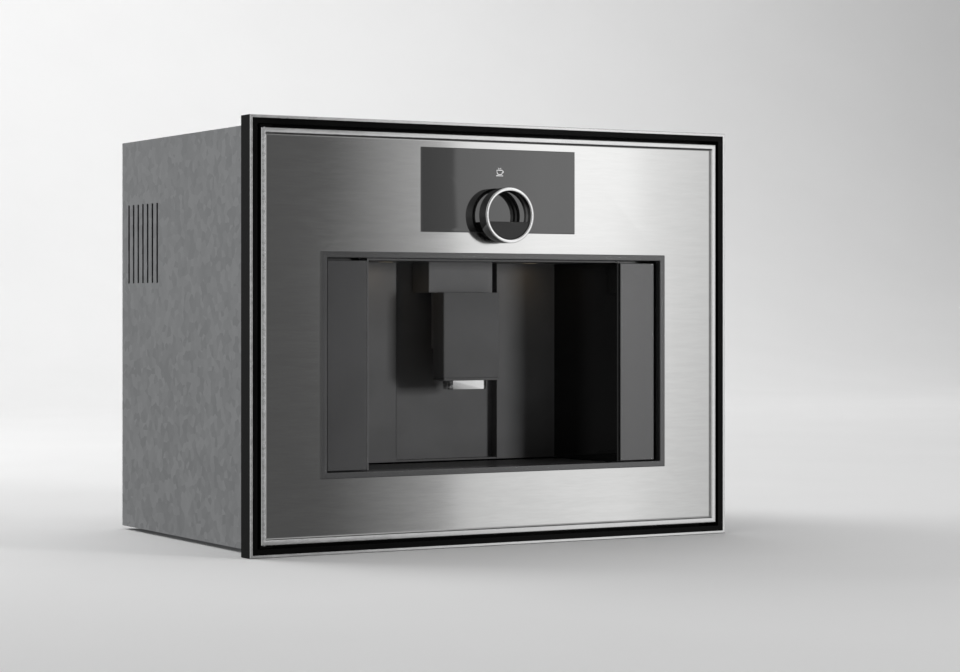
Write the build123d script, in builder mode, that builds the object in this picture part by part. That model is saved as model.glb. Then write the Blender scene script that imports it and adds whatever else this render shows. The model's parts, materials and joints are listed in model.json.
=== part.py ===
"""Built-in coffee machine: a hinged steel front with a cup niche, and the machine behind it.

Millimetres. +Z is up and the front looks along -Y. The origin lies under the middle of the
whole machine, on the plane that it stands on. Depths are counted from the front plane of the
door, growing into the wall.
"""
from build123d import *
import os

# ---- driving dimensions: the front ----
front_width = 594.0
front_height = 455.0
edge_width = 3.0            # bright outer edge of the mounting frame
frame_depth = 22.0          # front plane to the cabinet's face
band_width = 6.0            # gloss black band inside the edge
band_setback = 1.0
frame_sheet = 1.5
flange_thick = 2.0
flange_reach = 21.5         # from the edge inwards, behind the door
door_inset = 13.0           # frame's outside to the door's outside
rim_width = 5.0
rim_depth = 14.0
panel_setback = 3.5
panel_thick = 1.2
door_depth = 25.0
liner_sheet = 2.0
liner_inset = 16.0          # door's outside to the liner's outside
hinge_from_edge = 6.5       # door's left edge to the hinge axis
hinge_depth = 7.0
hinge_pin_r = 2.0

# ---- the niche aperture and what shows in it ----
trim_width_outer = 430.0
trim_height_outer = 237.2
trim_center_z = 197.2        # middle of the aperture above the stand plane
trim_bar = 6.5
trim_front = 1.0            # depth of the trim's front face
trim_back = 10.0
trim_wall = 3.5
strip_depth = 8.0           # depth of the upright strips beside the niche
strip_gap = 3.5             # trim's inside to the strips
niche_half_width = 156.0    # at the front
niche_splay = 15.0          # each side wall closes in by this towards the back
niche_wall = 2.0
niche_depth = 118.0
channel_half = 64.5
channel_drop = 10.6         # channel behind the back wall
floor_drop = 1.1            # trim's inside to the top of the drip grid
ceiling_gap = 2.1           # ceiling below the trim's inside

# ---- display and control ring ----
glass_width = 192.0
glass_height = 90.5
glass_from_top = 72.0       # frame's top to the middle of the glass
glass_front = 1.8
glass_thick = 2.9
ring_r = 30.0
ring_bore_r = 26.3
ring_length = 15.0
ring_float = 7.2            # glass face to the ring's rear edge
ring_drop = 26.7            # middle of the glass to the ring's axis
groove_width = 4.0
groove_deep = 1.2
core_flat_drop = 7.0        # ring axis down to the core's flat top

# ---- spout ----
head_half = 35.5
head_front = 63.0
head_thick = 25.0
head_height = 97.1
column_half = 40.7
column_setback = 24.0       # head's front to the column's front
column_length = 98.2
column_gap = 4.6            # column's back to the channel
column_side = 6.0
column_wall = 8.0
tongue_width = 66.0         # the column's front wall reaches down behind the head
tongue_length = 62.0
nozzle_width = 49.0
nozzle_height = 9.7
nozzle_setback = 7.0
nozzle_corner = 5.0
outlet_height = 83.0        # grid to the nozzle at rest
outlet_pitch = 18.0
outlet_r = 4.0
outlet_bore_r = 2.2
outlet_deep = 5.0
spout_down = 13.0
spout_up = 67.0

# ---- machine behind the door ----
body_inset = 19.5           # frame's outside to the casing's side
foot_height = 4.0
body_drop = 7.0             # frame's top to the casing's top
sheet = 1.2
chassis_depth = 27.0
chassis_thick = 1.5
casing_depth = 396.0
screw_head = 1.0
bay_inset = 10.0            # casing's side to the bay opening
bay_low_z = 27.0
bay_above = 4.8             # niche ceiling to the top of the bay opening
tray_low_z = 30.0
tray_length = 263.0
tray_wall = 2.5
bin_width = 126.0
tank_low_z = 34.0
tank_height = 264.0
tank_length = 271.0
tank_wall = 2.5
bean_width = 102.0
bean_height = 98.0
grinder_r = 40.0
grinder_gap = 15.4          # channel's back to the grinder
outlet_from_back = 46.0     # bean drawer's back to its outlet
bean_above = 10.0           # bay opening to the bean drawer
deck_gap = 8.0              # top of the drip grid to the inner deck
vent_gap = 5.0
vent_from_back = 62.0       # casing's back to the middle of the vent fields
vent_drop = 118.0           # casing's top to the middle of the upright vent fields
foot_r = 14.0
foot_inset = 32.5           # casing's side to a foot's middle
foot_pitch = 300.0
inlet_from_tray = 51.0      # tray's side to the mains inlet's middle
inlet_above = 58.0          # casing's underside to the mains inlet's middle
inlet_width = 28.0
inlet_height = 21.0

# ---- clearances ----
run_gap = 0.3               # sliding pieces, each side
pin_gap = 0.05              # turning fits, radial
door_gap = 2.0              # door's back to what stands behind it
seam = 1.0                  # visible seams between covers
niche_gap = 1.6             # drip grid to the niche walls above it

# ---- worked out ----
total_depth = casing_depth + screw_head
ring_back = glass_front - ring_float
ring_front = ring_back - ring_length
front_y = -(total_depth + ring_front) / 2
door_half = front_width / 2 - door_inset
door_low_z = door_inset
door_high_z = front_height - door_inset
hinge_x = -door_half + hinge_from_edge
screw_x = door_half - 2.0
screw_pitch_z = 300.0
trim_inner_half = trim_width_outer / 2 - trim_bar
trim_low_z = trim_center_z - trim_height_outer / 2
trim_high_z = trim_center_z + trim_height_outer / 2
floor_z = trim_low_z + trim_bar - floor_drop
ceiling_z = trim_high_z - trim_bar - ceiling_gap
niche_low_z = floor_z + niche_gap
niche_back_half = niche_half_width - niche_splay
channel_depth = niche_depth + channel_drop
strip_outer_x = trim_inner_half - strip_gap
glass_center_z = front_height - glass_from_top
ring_z = glass_center_z - ring_drop
nozzle_low_z = floor_z + outlet_height
head_low_z = nozzle_low_z + nozzle_height
head_high_z = head_low_z + head_height
head_back = head_front + head_thick
nozzle_depth = head_thick - nozzle_setback
column_front = head_front + column_setback
column_back = channel_depth - column_gap
column_top_z = head_high_z + column_length
body_half = front_width / 2 - body_inset
body_low_z = foot_height
body_high_z = front_height - body_drop
bay_half = body_half - bay_inset
bay_high_z = ceiling_z + bay_above
tray_half = niche_half_width - 2 * seam
tray_back = chassis_depth + tray_length
bin_left = -tray_half + tray_wall + 5.5
bin_right = bin_left + bin_width
tank_inner_x = niche_half_width + niche_wall + 2 * seam
tank_outer_x = bay_half - 3.5
tank_high_z = tank_low_z + tank_height
tank_back = chassis_depth + 2 + tank_length
bean_left_x = -niche_half_width - seam
bean_right_x = bean_left_x + bean_width
bean_low_z = bay_high_z + bean_above
bean_high_z = bean_low_z + bean_height
bean_outlet_depth = channel_depth + niche_wall + grinder_gap + grinder_r
bean_back = bean_outlet_depth + outlet_from_back
deck_z = floor_z + deck_gap
liner_half = door_half - liner_inset
liner_low_z = door_low_z + liner_inset - 2
liner_high_z = door_high_z - liner_inset + 2
panel_back = panel_setback + panel_thick

os.makedirs("parts", exist_ok=True)


def facing(depth):
    """Upright plane at a depth, looking at the viewer: local x is X, local y is Z."""
    return Plane(origin=(0, front_y + depth, 0), x_dir=(1, 0, 0), z_dir=(0, -1, 0))


def plan(z):
    """Level plane at a height: local x is X, local y is the depth."""
    return Plane(origin=(0, front_y, z), x_dir=(1, 0, 0), z_dir=(0, 0, 1))


def across(x):
    """Upright plane at an X: local x is the depth, local y is Z, looking along +X."""
    return Plane(origin=(x, front_y, 0), x_dir=(0, 1, 0), z_dir=(1, 0, 0))


def span(left, right, low, high, mode=Mode.ADD):
    """Rectangle between two corners, in the sketch that is open."""
    with Locations(((left + right) / 2, (low + high) / 2)):
        Rectangle(right - left, high - low, mode=mode)


def frame_ring(outer, inner):
    """Rectangle outline of the frame between two insets, in the sketch that is open."""
    with Locations((0, front_height / 2)):
        Rectangle(front_width - 2 * outer, front_height - 2 * outer)
        Rectangle(front_width - 2 * inner, front_height - 2 * inner, mode=Mode.SUBTRACT)


def aperture_ring(outer, inner):
    """Rectangle outline round the niche aperture between two growths of its trim's outside."""
    with Locations((0, trim_center_z)):
        Rectangle(trim_width_outer + 2 * outer, trim_height_outer + 2 * outer)
        Rectangle(trim_width_outer + 2 * inner, trim_height_outer + 2 * inner, mode=Mode.SUBTRACT)


def vents(middle, length, count, pitch, upright):
    """Row of square-ended vent slots, cut from the sketch that is open."""
    with Locations(middle):
        if upright:
            with GridLocations(pitch, 0, count, 1):
                Rectangle(vent_gap, length, mode=Mode.SUBTRACT)
        else:
            with GridLocations(0, pitch, 1, count):
                Rectangle(length, vent_gap, mode=Mode.SUBTRACT)


def keep(part, label):
    """Name a finished piece and write it."""
    part.label = label
    export_step(part, f"parts/{label}.step")


# ======================= mounting frame =======================
with BuildPart() as frame_edge:
    with BuildSketch(facing(frame_depth)):
        frame_ring(0, edge_width)
    extrude(amount=frame_depth)
    chamfer(frame_edge.faces().sort_by(Axis.Y)[0].outer_wire().edges(), 0.5)
keep(frame_edge.part, "frame_edge")

band_inner = edge_width + band_width
flange_inner = edge_width + flange_reach
with BuildPart() as frame_band:
    with BuildSketch(facing(band_setback + frame_sheet)):
        frame_ring(edge_width, band_inner)
    extrude(amount=frame_sheet)
    with BuildSketch(facing(frame_depth)):
        frame_ring(band_inner - frame_sheet, band_inner)
    extrude(amount=frame_depth - band_setback)
    with BuildSketch(facing(frame_depth)):
        frame_ring(edge_width, flange_inner)
    extrude(amount=flange_thick)
    with BuildSketch(facing(chassis_depth)):
        frame_ring(flange_inner - frame_sheet, flange_inner)
    extrude(amount=chassis_depth - frame_depth)
    # four screw holes, through the flange into the cabinet's side panels
    with Locations(facing(frame_depth - flange_thick)):
        with Locations((0, front_height / 2)):
            with GridLocations(2 * screw_x, screw_pitch_z, 2, 2):
                Hole(radius=2.25, depth=flange_thick)
keep(frame_band.part, "frame_band")

# ======================= casing =======================
bead_pitch = 34.0
bead_width = 8.0
bead_inset = 70.0           # the bean bay's edge to the catch, less a bead's length
bead_deep = 0.6
catch_x = door_half - 48.0
bean_bay = (bean_left_x - seam, bean_right_x + seam, bean_low_z - seam, bean_high_z + seam + 4)
with BuildPart() as front_chassis:
    with BuildSketch(facing(chassis_depth + chassis_thick)):
        span(-body_half, body_half, body_low_z, body_high_z)
        span(-bay_half, bay_half, bay_low_z, bay_high_z, mode=Mode.SUBTRACT)
        span(*bean_bay, mode=Mode.SUBTRACT)
    extrude(amount=chassis_thick)
    # stiffening beads pressed into the wide top right field
    with BuildSketch(facing(chassis_depth)):
        with Locations(((bean_bay[1] + catch_x) / 2, (bay_high_z + body_high_z) / 2)):
            with GridLocations(0, bead_pitch, 1, 3):
                SlotOverall(catch_x - bean_bay[1] - bead_inset, bead_width)
    extrude(amount=-bead_deep, mode=Mode.SUBTRACT)
keep(front_chassis.part, "front_chassis")

inner_half = body_half - sheet
casing_front = chassis_depth + chassis_thick
casing_back = casing_depth - sheet
base_top_z = body_low_z + sheet
top_under_z = body_high_z - sheet
casing_mid = (casing_front + casing_back) / 2
vent_depth = casing_depth - vent_from_back
vent_z = body_high_z - vent_drop
pan_flange = 14.0
with BuildPart() as base_pan:
    with BuildSketch(plan(body_low_z)):
        span(-inner_half, inner_half, casing_front, casing_back)
        vents((0, vent_depth), 60, 12, 22, upright=True)
    extrude(amount=sheet)
    with BuildSketch(plan(base_top_z)):
        with Locations((0, casing_mid)):
            with GridLocations(2 * inner_half - sheet, 0, 2, 1):
                Rectangle(sheet, casing_back - casing_front)
    extrude(amount=pan_flange)
keep(base_pan.part, "base_pan")


def side_sheet(x_face):
    """Side sheet of the casing with a field of vent slots near its rear."""
    with BuildPart() as side_part:
        with BuildSketch(across(x_face)):
            span(casing_front, casing_back, body_low_z, body_high_z)
            vents((vent_depth, vent_z), 90, 7, 14, upright=True)
        extrude(amount=sheet)
    return side_part.part


keep(side_sheet(-body_half), "side_left")
keep(side_sheet(inner_half), "side_right")

with BuildPart() as top_cover:
    with BuildSketch(plan(top_under_z)):
        span(-inner_half, inner_half, casing_front, casing_back)
        vents((0, vent_depth), 64, 16, 24, upright=True)
    extrude(amount=sheet)
keep(top_cover.part, "top_cover")

inlet_x = tray_half + inlet_from_tray
inlet_z = body_low_z + inlet_above
screw_inset_x = 22.5
screw_inset_z = 16.0
screw_hex_r = 4.0
rear_screw_x = (screw_inset_x - body_half, body_half - screw_inset_x)
rear_screw_z = (body_low_z + screw_inset_z, (body_low_z + body_high_z) / 2, body_high_z - screw_inset_z)
rear_screws = [(x, z) for x in rear_screw_x for z in rear_screw_z]
rear_screws += [(0, rear_screw_z[0]), (0, rear_screw_z[-1])]
with BuildPart() as rear_cover:
    with BuildSketch(facing(casing_depth)):
        span(-body_half, body_half, body_low_z, body_high_z)
        with Locations((inlet_x, inlet_z)):
            Rectangle(inlet_width, inlet_height, mode=Mode.SUBTRACT)
        vents((-125, vent_z), 160, 8, 14, upright=False)
        vents((125, vent_z), 160, 8, 14, upright=False)
    extrude(amount=sheet)
keep(rear_cover.part, "rear_cover")

with BuildPart() as casing_screws:
    with BuildSketch(facing(casing_depth)):
        with Locations(*rear_screws):
            RegularPolygon(screw_hex_r, 6)
    extrude(amount=-screw_head)
keep(casing_screws.part, "casing_screws")

with BuildPart() as feet:
    with BuildSketch(plan(0)):
        with Locations((0, casing_mid)):
            with GridLocations(2 * (body_half - foot_inset), foot_pitch, 2, 2):
                Circle(foot_r)
    extrude(amount=body_low_z)
keep(feet.part, "feet")

# ======================= cup niche =======================
def niche_wall_x(depth):
    """Half-width of the niche at a depth: its side walls close in towards the back."""
    share = (depth - strip_depth) / (niche_depth - strip_depth)
    return niche_half_width - share * (niche_half_width - niche_back_half)


lamp_r = 8.0
lamp_x = 92.0
lamp_depth = 92.0
shaft_half = max(column_half, head_half) + 1.3
shaft_front = head_front - 1.5
with BuildPart() as niche_shell:
    # left wall, back wall and the channel in it, as one folded profile
    with BuildSketch(plan(niche_low_z)):
        with BuildLine():
            wall_path = Polyline(
                (-niche_half_width, strip_depth + 0.5),
                (-niche_wall_x(niche_depth), niche_depth),
                (-channel_half, niche_depth),
                (-channel_half, channel_depth),
                (channel_half, channel_depth),
                (channel_half, niche_depth),
                (niche_wall_x(niche_depth), niche_depth),
                (niche_wall_x(niche_depth) + niche_wall, niche_depth),
                (niche_wall_x(niche_depth) + niche_wall, niche_depth + niche_wall),
                (channel_half + niche_wall, niche_depth + niche_wall),
                (channel_half + niche_wall, channel_depth + niche_wall),
                (-channel_half - niche_wall, channel_depth + niche_wall),
                (-channel_half - niche_wall, niche_depth + niche_wall),
                (-niche_wall_x(niche_depth) - niche_wall, niche_depth + niche_wall),
                (-niche_half_width - niche_wall, strip_depth + 0.5),
                close=True,
            )
        make_face()
    extrude(amount=ceiling_z + niche_wall - niche_low_z)
    # ceiling, with the shaft that the spout rises into and two lamp holes
    with BuildSketch(plan(ceiling_z)):
        with BuildLine():
            Polyline(
                (-niche_half_width, trim_back + 2),
                (-niche_back_half, niche_depth),
                (-channel_half, niche_depth),
                (-channel_half, channel_depth),
                (channel_half, channel_depth),
                (channel_half, niche_depth),
                (niche_back_half, niche_depth),
                (niche_half_width, trim_back + 2),
                close=True,
            )
        make_face()
        span(-shaft_half, shaft_half, shaft_front, channel_depth, mode=Mode.SUBTRACT)
        with Locations((-lamp_x, lamp_depth), (lamp_x, lamp_depth)):
            Circle(lamp_r, mode=Mode.SUBTRACT)
    extrude(amount=niche_wall)
    # sill at the foot of the channel
    with BuildSketch(plan(niche_low_z)):
        span(-channel_half, channel_half, niche_depth + 0.5, channel_depth)
    extrude(amount=niche_wall)
    # upstand that hangs the ceiling on the chassis
    with BuildSketch(plan(ceiling_z + niche_wall)):
        span(-niche_half_width, niche_half_width, chassis_depth, casing_front)
    extrude(amount=bay_high_z - ceiling_z - niche_wall)
keep(niche_shell.part, "niche_shell")

with BuildPart() as niche_side_panel:
    with BuildSketch(plan(niche_low_z)):
        with BuildLine():
            Polyline(
                (niche_half_width, strip_depth + 0.5),
                (niche_wall_x(niche_depth), niche_depth),
                (niche_wall_x(niche_depth) + niche_wall, niche_depth),
                (niche_half_width + niche_wall, strip_depth + 0.5),
                close=True,
            )
        make_face()
    extrude(amount=ceiling_z - niche_low_z)
    chamfer(niche_side_panel.edges().filter_by(Axis.Z).sort_by(Axis.Y)[:2], 0.5)
keep(niche_side_panel.part, "niche_side_panel")

with BuildPart() as niche_lamps:
    with BuildSketch(plan(ceiling_z - 0.5)):
        with Locations((-lamp_x, lamp_depth), (lamp_x, lamp_depth)):
            Circle(lamp_r - pin_gap)
    extrude(amount=niche_wall + 0.5)
    with BuildSketch(plan(ceiling_z + niche_wall)):
        with Locations((-lamp_x, lamp_depth), (lamp_x, lamp_depth)):
            Rectangle(3 * lamp_r, 2.5 * lamp_r)
    extrude(amount=5)
keep(niche_lamps.part, "niche_lamps")

strip_low_z = niche_low_z + 0.4
strip_high_z = ceiling_z - 0.5
cover_low_z = bay_low_z + seam
cover_high_z = bay_high_z - seam
cover_sheet = 2.0
recess_deep = 1.2            # finger recesses of the covers and drawers


def bay_cover(inner_x, outer_x, mirror_side):
    """Cover of a side bay: a flat field flush with the chassis, and the raised niche strip."""
    with BuildPart() as cover:
        with BuildSketch(facing(chassis_depth + cover_sheet)):
            span(inner_x, outer_x, cover_low_z, cover_high_z)
        extrude(amount=cover_sheet)
        with BuildSketch(facing(chassis_depth)):
            span(inner_x, strip_outer_x, strip_low_z, strip_high_z)
        extrude(amount=chassis_depth - strip_depth)
        chamfer(cover.faces().sort_by(Axis.Y)[0].edges(), 0.6)
        # the strip is hollow from behind
        with BuildSketch(facing(chassis_depth + cover_sheet)):
            span(inner_x + cover_sheet, strip_outer_x - cover_sheet,
                 strip_low_z + cover_sheet, strip_high_z - cover_sheet)
        extrude(amount=chassis_depth - strip_depth, mode=Mode.SUBTRACT)
        # finger recess in the flat field
        with BuildSketch(facing(chassis_depth)):
            with Locations(((strip_outer_x + outer_x) / 2, (cover_low_z + cover_high_z) / 2)):
                SlotOverall(90, 22, rotation=90)
        extrude(amount=-recess_deep, mode=Mode.SUBTRACT)
        if mirror_side:
            mirror(about=Plane.YZ, mode=Mode.REPLACE)
    return cover.part


keep(bay_cover(niche_half_width + niche_wall, bay_half, True), "brew_cover")
keep(bay_cover(tank_inner_x, bay_half - seam, False), "tank_front")

# ======================= spout =======================
head_edge = 0.9
with BuildPart() as spout_head:
    with BuildSketch(plan(head_low_z)):
        span(-head_half, head_half, head_front, head_back)
    extrude(amount=head_high_z - head_low_z)
    fillet(spout_head.edges().filter_by(Axis.Z), 2.0)
    chamfer(spout_head.faces().sort_by(Axis.Z)[0].edges(), head_edge)
    chamfer(spout_head.faces().sort_by(Axis.Z)[-1].edges(), head_edge)
keep(spout_head.part, "spout_head")

with BuildPart() as spout_column:
    with BuildSketch(plan(head_high_z)):
        span(-column_half, column_half, column_front, column_back)
        # rear hollow for the two hoses
        span(-column_half + column_side, column_half - column_side,
             column_front + column_wall, column_back, mode=Mode.SUBTRACT)
    extrude(amount=column_top_z - head_high_z)
    fillet(spout_column.faces().sort_by(Axis.Y)[0].edges().filter_by(Axis.Z), 1.2)
    # tongue that carries the head
    with BuildSketch(plan(head_high_z)):
        span(-tongue_width / 2, tongue_width / 2, head_back, column_front + column_wall)
    extrude(amount=-tongue_length)
keep(spout_column.part, "spout_column")

outlet_places = [(x, head_back - nozzle_depth / 2) for x in (-outlet_pitch / 2, outlet_pitch / 2)]
with BuildPart() as spout_nozzle:
    with BuildSketch(plan(nozzle_low_z)):
        span(-nozzle_width / 2, nozzle_width / 2, head_front + nozzle_setback, head_back)
    extrude(amount=head_low_z - nozzle_low_z)
    fillet(spout_nozzle.edges().filter_by(Axis.Z), nozzle_corner)
    with BuildSketch(plan(nozzle_low_z)):
        with Locations(*outlet_places):
            Circle(outlet_r)
    extrude(amount=outlet_deep, mode=Mode.SUBTRACT)
keep(spout_nozzle.part, "spout_nozzle")

with BuildPart() as outlet_tubes:
    with BuildSketch(plan(nozzle_low_z + 1)):
        with Locations(*outlet_places):
            Circle(outlet_r)
            Circle(outlet_bore_r, mode=Mode.SUBTRACT)
    extrude(amount=outlet_deep - 1)
keep(outlet_tubes.part, "outlet_tubes")

rail_thick = 6.0
rail_lip = 5.0              # the rails reach behind the column by this
rail_in = column_half + run_gap
rail_front = column_front - 4.0
rail_back = column_back + 5.0
with BuildPart() as spout_guide:
    with BuildSketch(plan(ceiling_z + niche_wall)):
        for rail_side in (-1, 1):
            with BuildLine():
                Polyline(
                    (rail_side * rail_in, rail_front),
                    (rail_side * (rail_in + rail_thick), rail_front),
                    (rail_side * (rail_in + rail_thick), rail_back),
                    (rail_side * (rail_in - rail_lip), rail_back),
                    (rail_side * (rail_in - rail_lip), column_back + run_gap),
                    (rail_side * rail_in, column_back + run_gap),
                    close=True,
                )
            make_face()
    extrude(amount=top_under_z - ceiling_z - niche_wall)
keep(spout_guide.part, "spout_guide")

# ======================= hinge and catches on the machine side =======================
frame_play = door_inset - band_inner        # door's edge to the frame's inner wall
plate_thick = frame_play / 2
tab_depth = frame_depth - flange_thick
plate_left = -door_half - 1.0
plate_right = -liner_half - 3.0
pin_reach = 12.0                            # pin length inside the door
tab_height = 20.0
tab_thick = 2.0
high_plate_z = door_high_z + (frame_play - plate_thick) / 2
low_plate_z = door_low_z - (frame_play + plate_thick) / 2


def hinge_bracket(plate_z, tab_down):
    """Angle bracket: a thin plate past the door's end and a tab on the frame's flange."""
    tab_low = plate_z + plate_thick - tab_height if tab_down else plate_z
    with BuildPart() as bracket:
        with BuildSketch(plan(plate_z)):
            span(plate_left, plate_right, 2 * band_setback, tab_depth)
            with Locations((hinge_x, hinge_depth)):
                Circle(hinge_pin_r, mode=Mode.SUBTRACT)
        extrude(amount=plate_thick)
        with BuildSketch(facing(tab_depth)):
            span(plate_left, plate_right, tab_low, tab_low + tab_height)
        extrude(amount=tab_thick)
    return bracket.part


with BuildPart() as hinge_brackets:
    add(hinge_bracket(high_plate_z, True))
    add(hinge_bracket(low_plate_z, False))
keep(hinge_brackets.part, "hinge_brackets")

with BuildPart() as hinge_pins:
    with BuildSketch(plan(door_high_z - pin_reach)):
        with Locations((hinge_x, hinge_depth)):
            Circle(hinge_pin_r)
    extrude(amount=high_plate_z + plate_thick - door_high_z + pin_reach)
    with BuildSketch(plan(low_plate_z)):
        with Locations((hinge_x, hinge_depth)):
            Circle(hinge_pin_r)
    extrude(amount=door_low_z + pin_reach - low_plate_z)
keep(hinge_pins.part, "hinge_pins")

catch_z = (body_high_z - 103.0, body_high_z - 48.0)
catch_length = 34.0
catch_height = 12.0
magnet_thick = 1.5
catch_plate = 1.0
with BuildPart() as catch_magnets:
    with BuildSketch(facing(chassis_depth)):
        with Locations(*[(catch_x, z) for z in catch_z]):
            Rectangle(catch_length, catch_height)
    extrude(amount=magnet_thick)
keep(catch_magnets.part, "catch_magnets")

# ======================= runners, shelves and deck =======================
runner_width = 26.0
runner_x = tray_half - 36.0
runner_back = tray_back + 8.0
with BuildPart() as tray_runners:
    with BuildSketch(facing(runner_back)):
        for runner_mid in (-runner_x, runner_x):
            span(runner_mid - runner_width / 2, runner_mid + runner_width / 2,
                 base_top_z, tray_low_z - run_gap)
            span(runner_mid - runner_width / 2 + sheet, runner_mid + runner_width / 2 - sheet,
                 base_top_z, tray_low_z - run_gap - sheet, mode=Mode.SUBTRACT)
    extrude(amount=runner_back - casing_front)
keep(tray_runners.part, "tray_runners")

shelf_top_z = tank_low_z - run_gap
shelf_back = tank_back + 42.0
with BuildPart() as tank_shelf:
    with BuildSketch(facing(shelf_back)):
        with BuildLine():
            Polyline(
                (tank_inner_x, base_top_z),
                (tank_inner_x, shelf_top_z),
                (tank_outer_x, shelf_top_z),
                (tank_outer_x, base_top_z),
                (tank_outer_x - sheet, base_top_z),
                (tank_outer_x - sheet, shelf_top_z - sheet),
                (tank_inner_x + sheet, shelf_top_z - sheet),
                (tank_inner_x + sheet, base_top_z),
                close=True,
            )
        make_face()
    extrude(amount=shelf_back - chassis_depth - cover_sheet - seam)
keep(tank_shelf.part, "tank_shelf")

bean_mid_x = (bean_left_x + bean_right_x) / 2
bean_outlet_r = 14.0
bean_shelf_back = bean_back + 4.0
bean_shelf_side = 14.0
bean_shelf_top_z = bean_low_z - run_gap
with BuildPart() as bean_shelf:
    with BuildSketch(facing(bean_shelf_back)):
        with BuildLine():
            Polyline(
                (bean_left_x - run_gap - sheet, bean_shelf_top_z + bean_shelf_side),
                (bean_left_x - run_gap - sheet, bean_shelf_top_z - sheet),
                (bean_right_x + run_gap + sheet, bean_shelf_top_z - sheet),
                (bean_right_x + run_gap + sheet, bean_shelf_top_z + bean_shelf_side),
                (bean_right_x + run_gap, bean_shelf_top_z + bean_shelf_side),
                (bean_right_x + run_gap, bean_shelf_top_z),
                (bean_left_x - run_gap, bean_shelf_top_z),
                (bean_left_x - run_gap, bean_shelf_top_z + bean_shelf_side),
                close=True,
            )
        make_face()
    extrude(amount=bean_shelf_back - casing_front)
    with BuildSketch(plan(bean_shelf_top_z - sheet)):
        with Locations((bean_mid_x, bean_outlet_depth)):
            Circle(bean_outlet_r + 4)
    extrude(amount=sheet, mode=Mode.SUBTRACT)
keep(bean_shelf.part, "bean_shelf")

deck_front = channel_depth + niche_wall + 3
hatch = (bin_left, bin_left + 86, deck_front + 16, deck_front + 102)
deck_leg_x = tray_half + 1.5
deck_thick = 1.5
with BuildPart() as inner_deck:
    with BuildSketch(plan(deck_z)):
        span(-inner_half, deck_leg_x, deck_front, casing_back)
        span(-inner_half, -deck_leg_x - 2 * deck_thick, casing_front + 3, deck_front)
        # hatch over the grounds container
        span(*hatch, mode=Mode.SUBTRACT)
    extrude(amount=deck_thick)
    with BuildSketch(plan(base_top_z)):
        span(-deck_leg_x - sheet, -deck_leg_x, deck_front, casing_back)
        span(deck_leg_x - sheet, deck_leg_x, runner_back + 4, casing_back)
    extrude(amount=deck_z - base_top_z)
keep(inner_deck.part, "inner_deck")
deck_top_z = deck_z + deck_thick

# ======================= brewing =======================
brew_left = 8 - inner_half
brew_right = -niche_half_width - niche_wall - 4
brew_front = casing_front + 31.5
brew_length = 140.0
brew_back = brew_front + brew_length
brew_top_z = bay_high_z - 26.0
brew_recess = 34.0
grip_z = brew_top_z - 96.0
grip_r = 6.0
grip_length = 60.0
chamber_r = 24.0
chamber_length = 90.0
chamber_x = (brew_left + brew_right) / 2
chamber_depth = (brew_front + brew_back) / 2 - 10
piston_z = brew_top_z - 60.0
piston_thick = 22.0
rod_r = 9.0
rod_length = 62.0
drive_z = brew_top_z - 81.0
gearbox_depth = 18.0
with BuildPart() as brew_unit:
    with BuildSketch(plan(deck_top_z)):
        with Locations((chamber_x, (brew_front + brew_back) / 2)):
            Rectangle(brew_right - brew_left, brew_length)
    extrude(amount=brew_top_z - deck_top_z)
    with BuildSketch(facing(brew_front)):
        with Locations((chamber_x, (deck_top_z + brew_top_z) / 2 + 16)):
            Rectangle(grip_length, 130)
    extrude(amount=-brew_recess, mode=Mode.SUBTRACT)
    # bore of the brewing chamber, open at the top
    with Locations(plan(brew_top_z)):
        with Locations((chamber_x, chamber_depth)):
            CounterBoreHole(radius=chamber_r, counter_bore_radius=chamber_r + 5,
                            counter_bore_depth=12, depth=chamber_length)
    # grip bar across the front recess
    with BuildSketch(across(chamber_x - grip_length / 2)):
        with Locations((brew_front + 10, grip_z)):
            Circle(grip_r)
    extrude(amount=grip_length)
keep(brew_unit.part, "brew_unit")

with BuildPart() as brew_piston:
    with BuildSketch(plan(piston_z)):
        with Locations((chamber_x, chamber_depth)):
            Circle(chamber_r - run_gap)
    extrude(amount=piston_thick)
    with BuildSketch(plan(piston_z + piston_thick)):
        with Locations((chamber_x, chamber_depth)):
            Circle(rod_r)
    extrude(amount=rod_length)
    # yoke over the rod, reaching back to the drive
    with BuildSketch(plan(piston_z + piston_thick + rod_length)):
        with Locations((chamber_x, chamber_depth + 20)):
            Rectangle(24, 70)
    extrude(amount=8)
keep(brew_piston.part, "brew_piston")

with BuildPart() as brew_drive:
    with BuildSketch(facing(brew_back)):
        with Locations((chamber_x, drive_z)):
            Rectangle(76, 120)
    extrude(amount=-gearbox_depth)
    with BuildSketch(facing(brew_back + gearbox_depth)):
        with Locations((chamber_x, drive_z - 30)):
            Circle(20)
    extrude(amount=-62)
    with BuildSketch(facing(brew_back + gearbox_depth)):
        with Locations((chamber_x, drive_z + 35)):
            Circle(15)
    extrude(amount=-10)
keep(brew_drive.part, "brew_drive")

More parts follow.
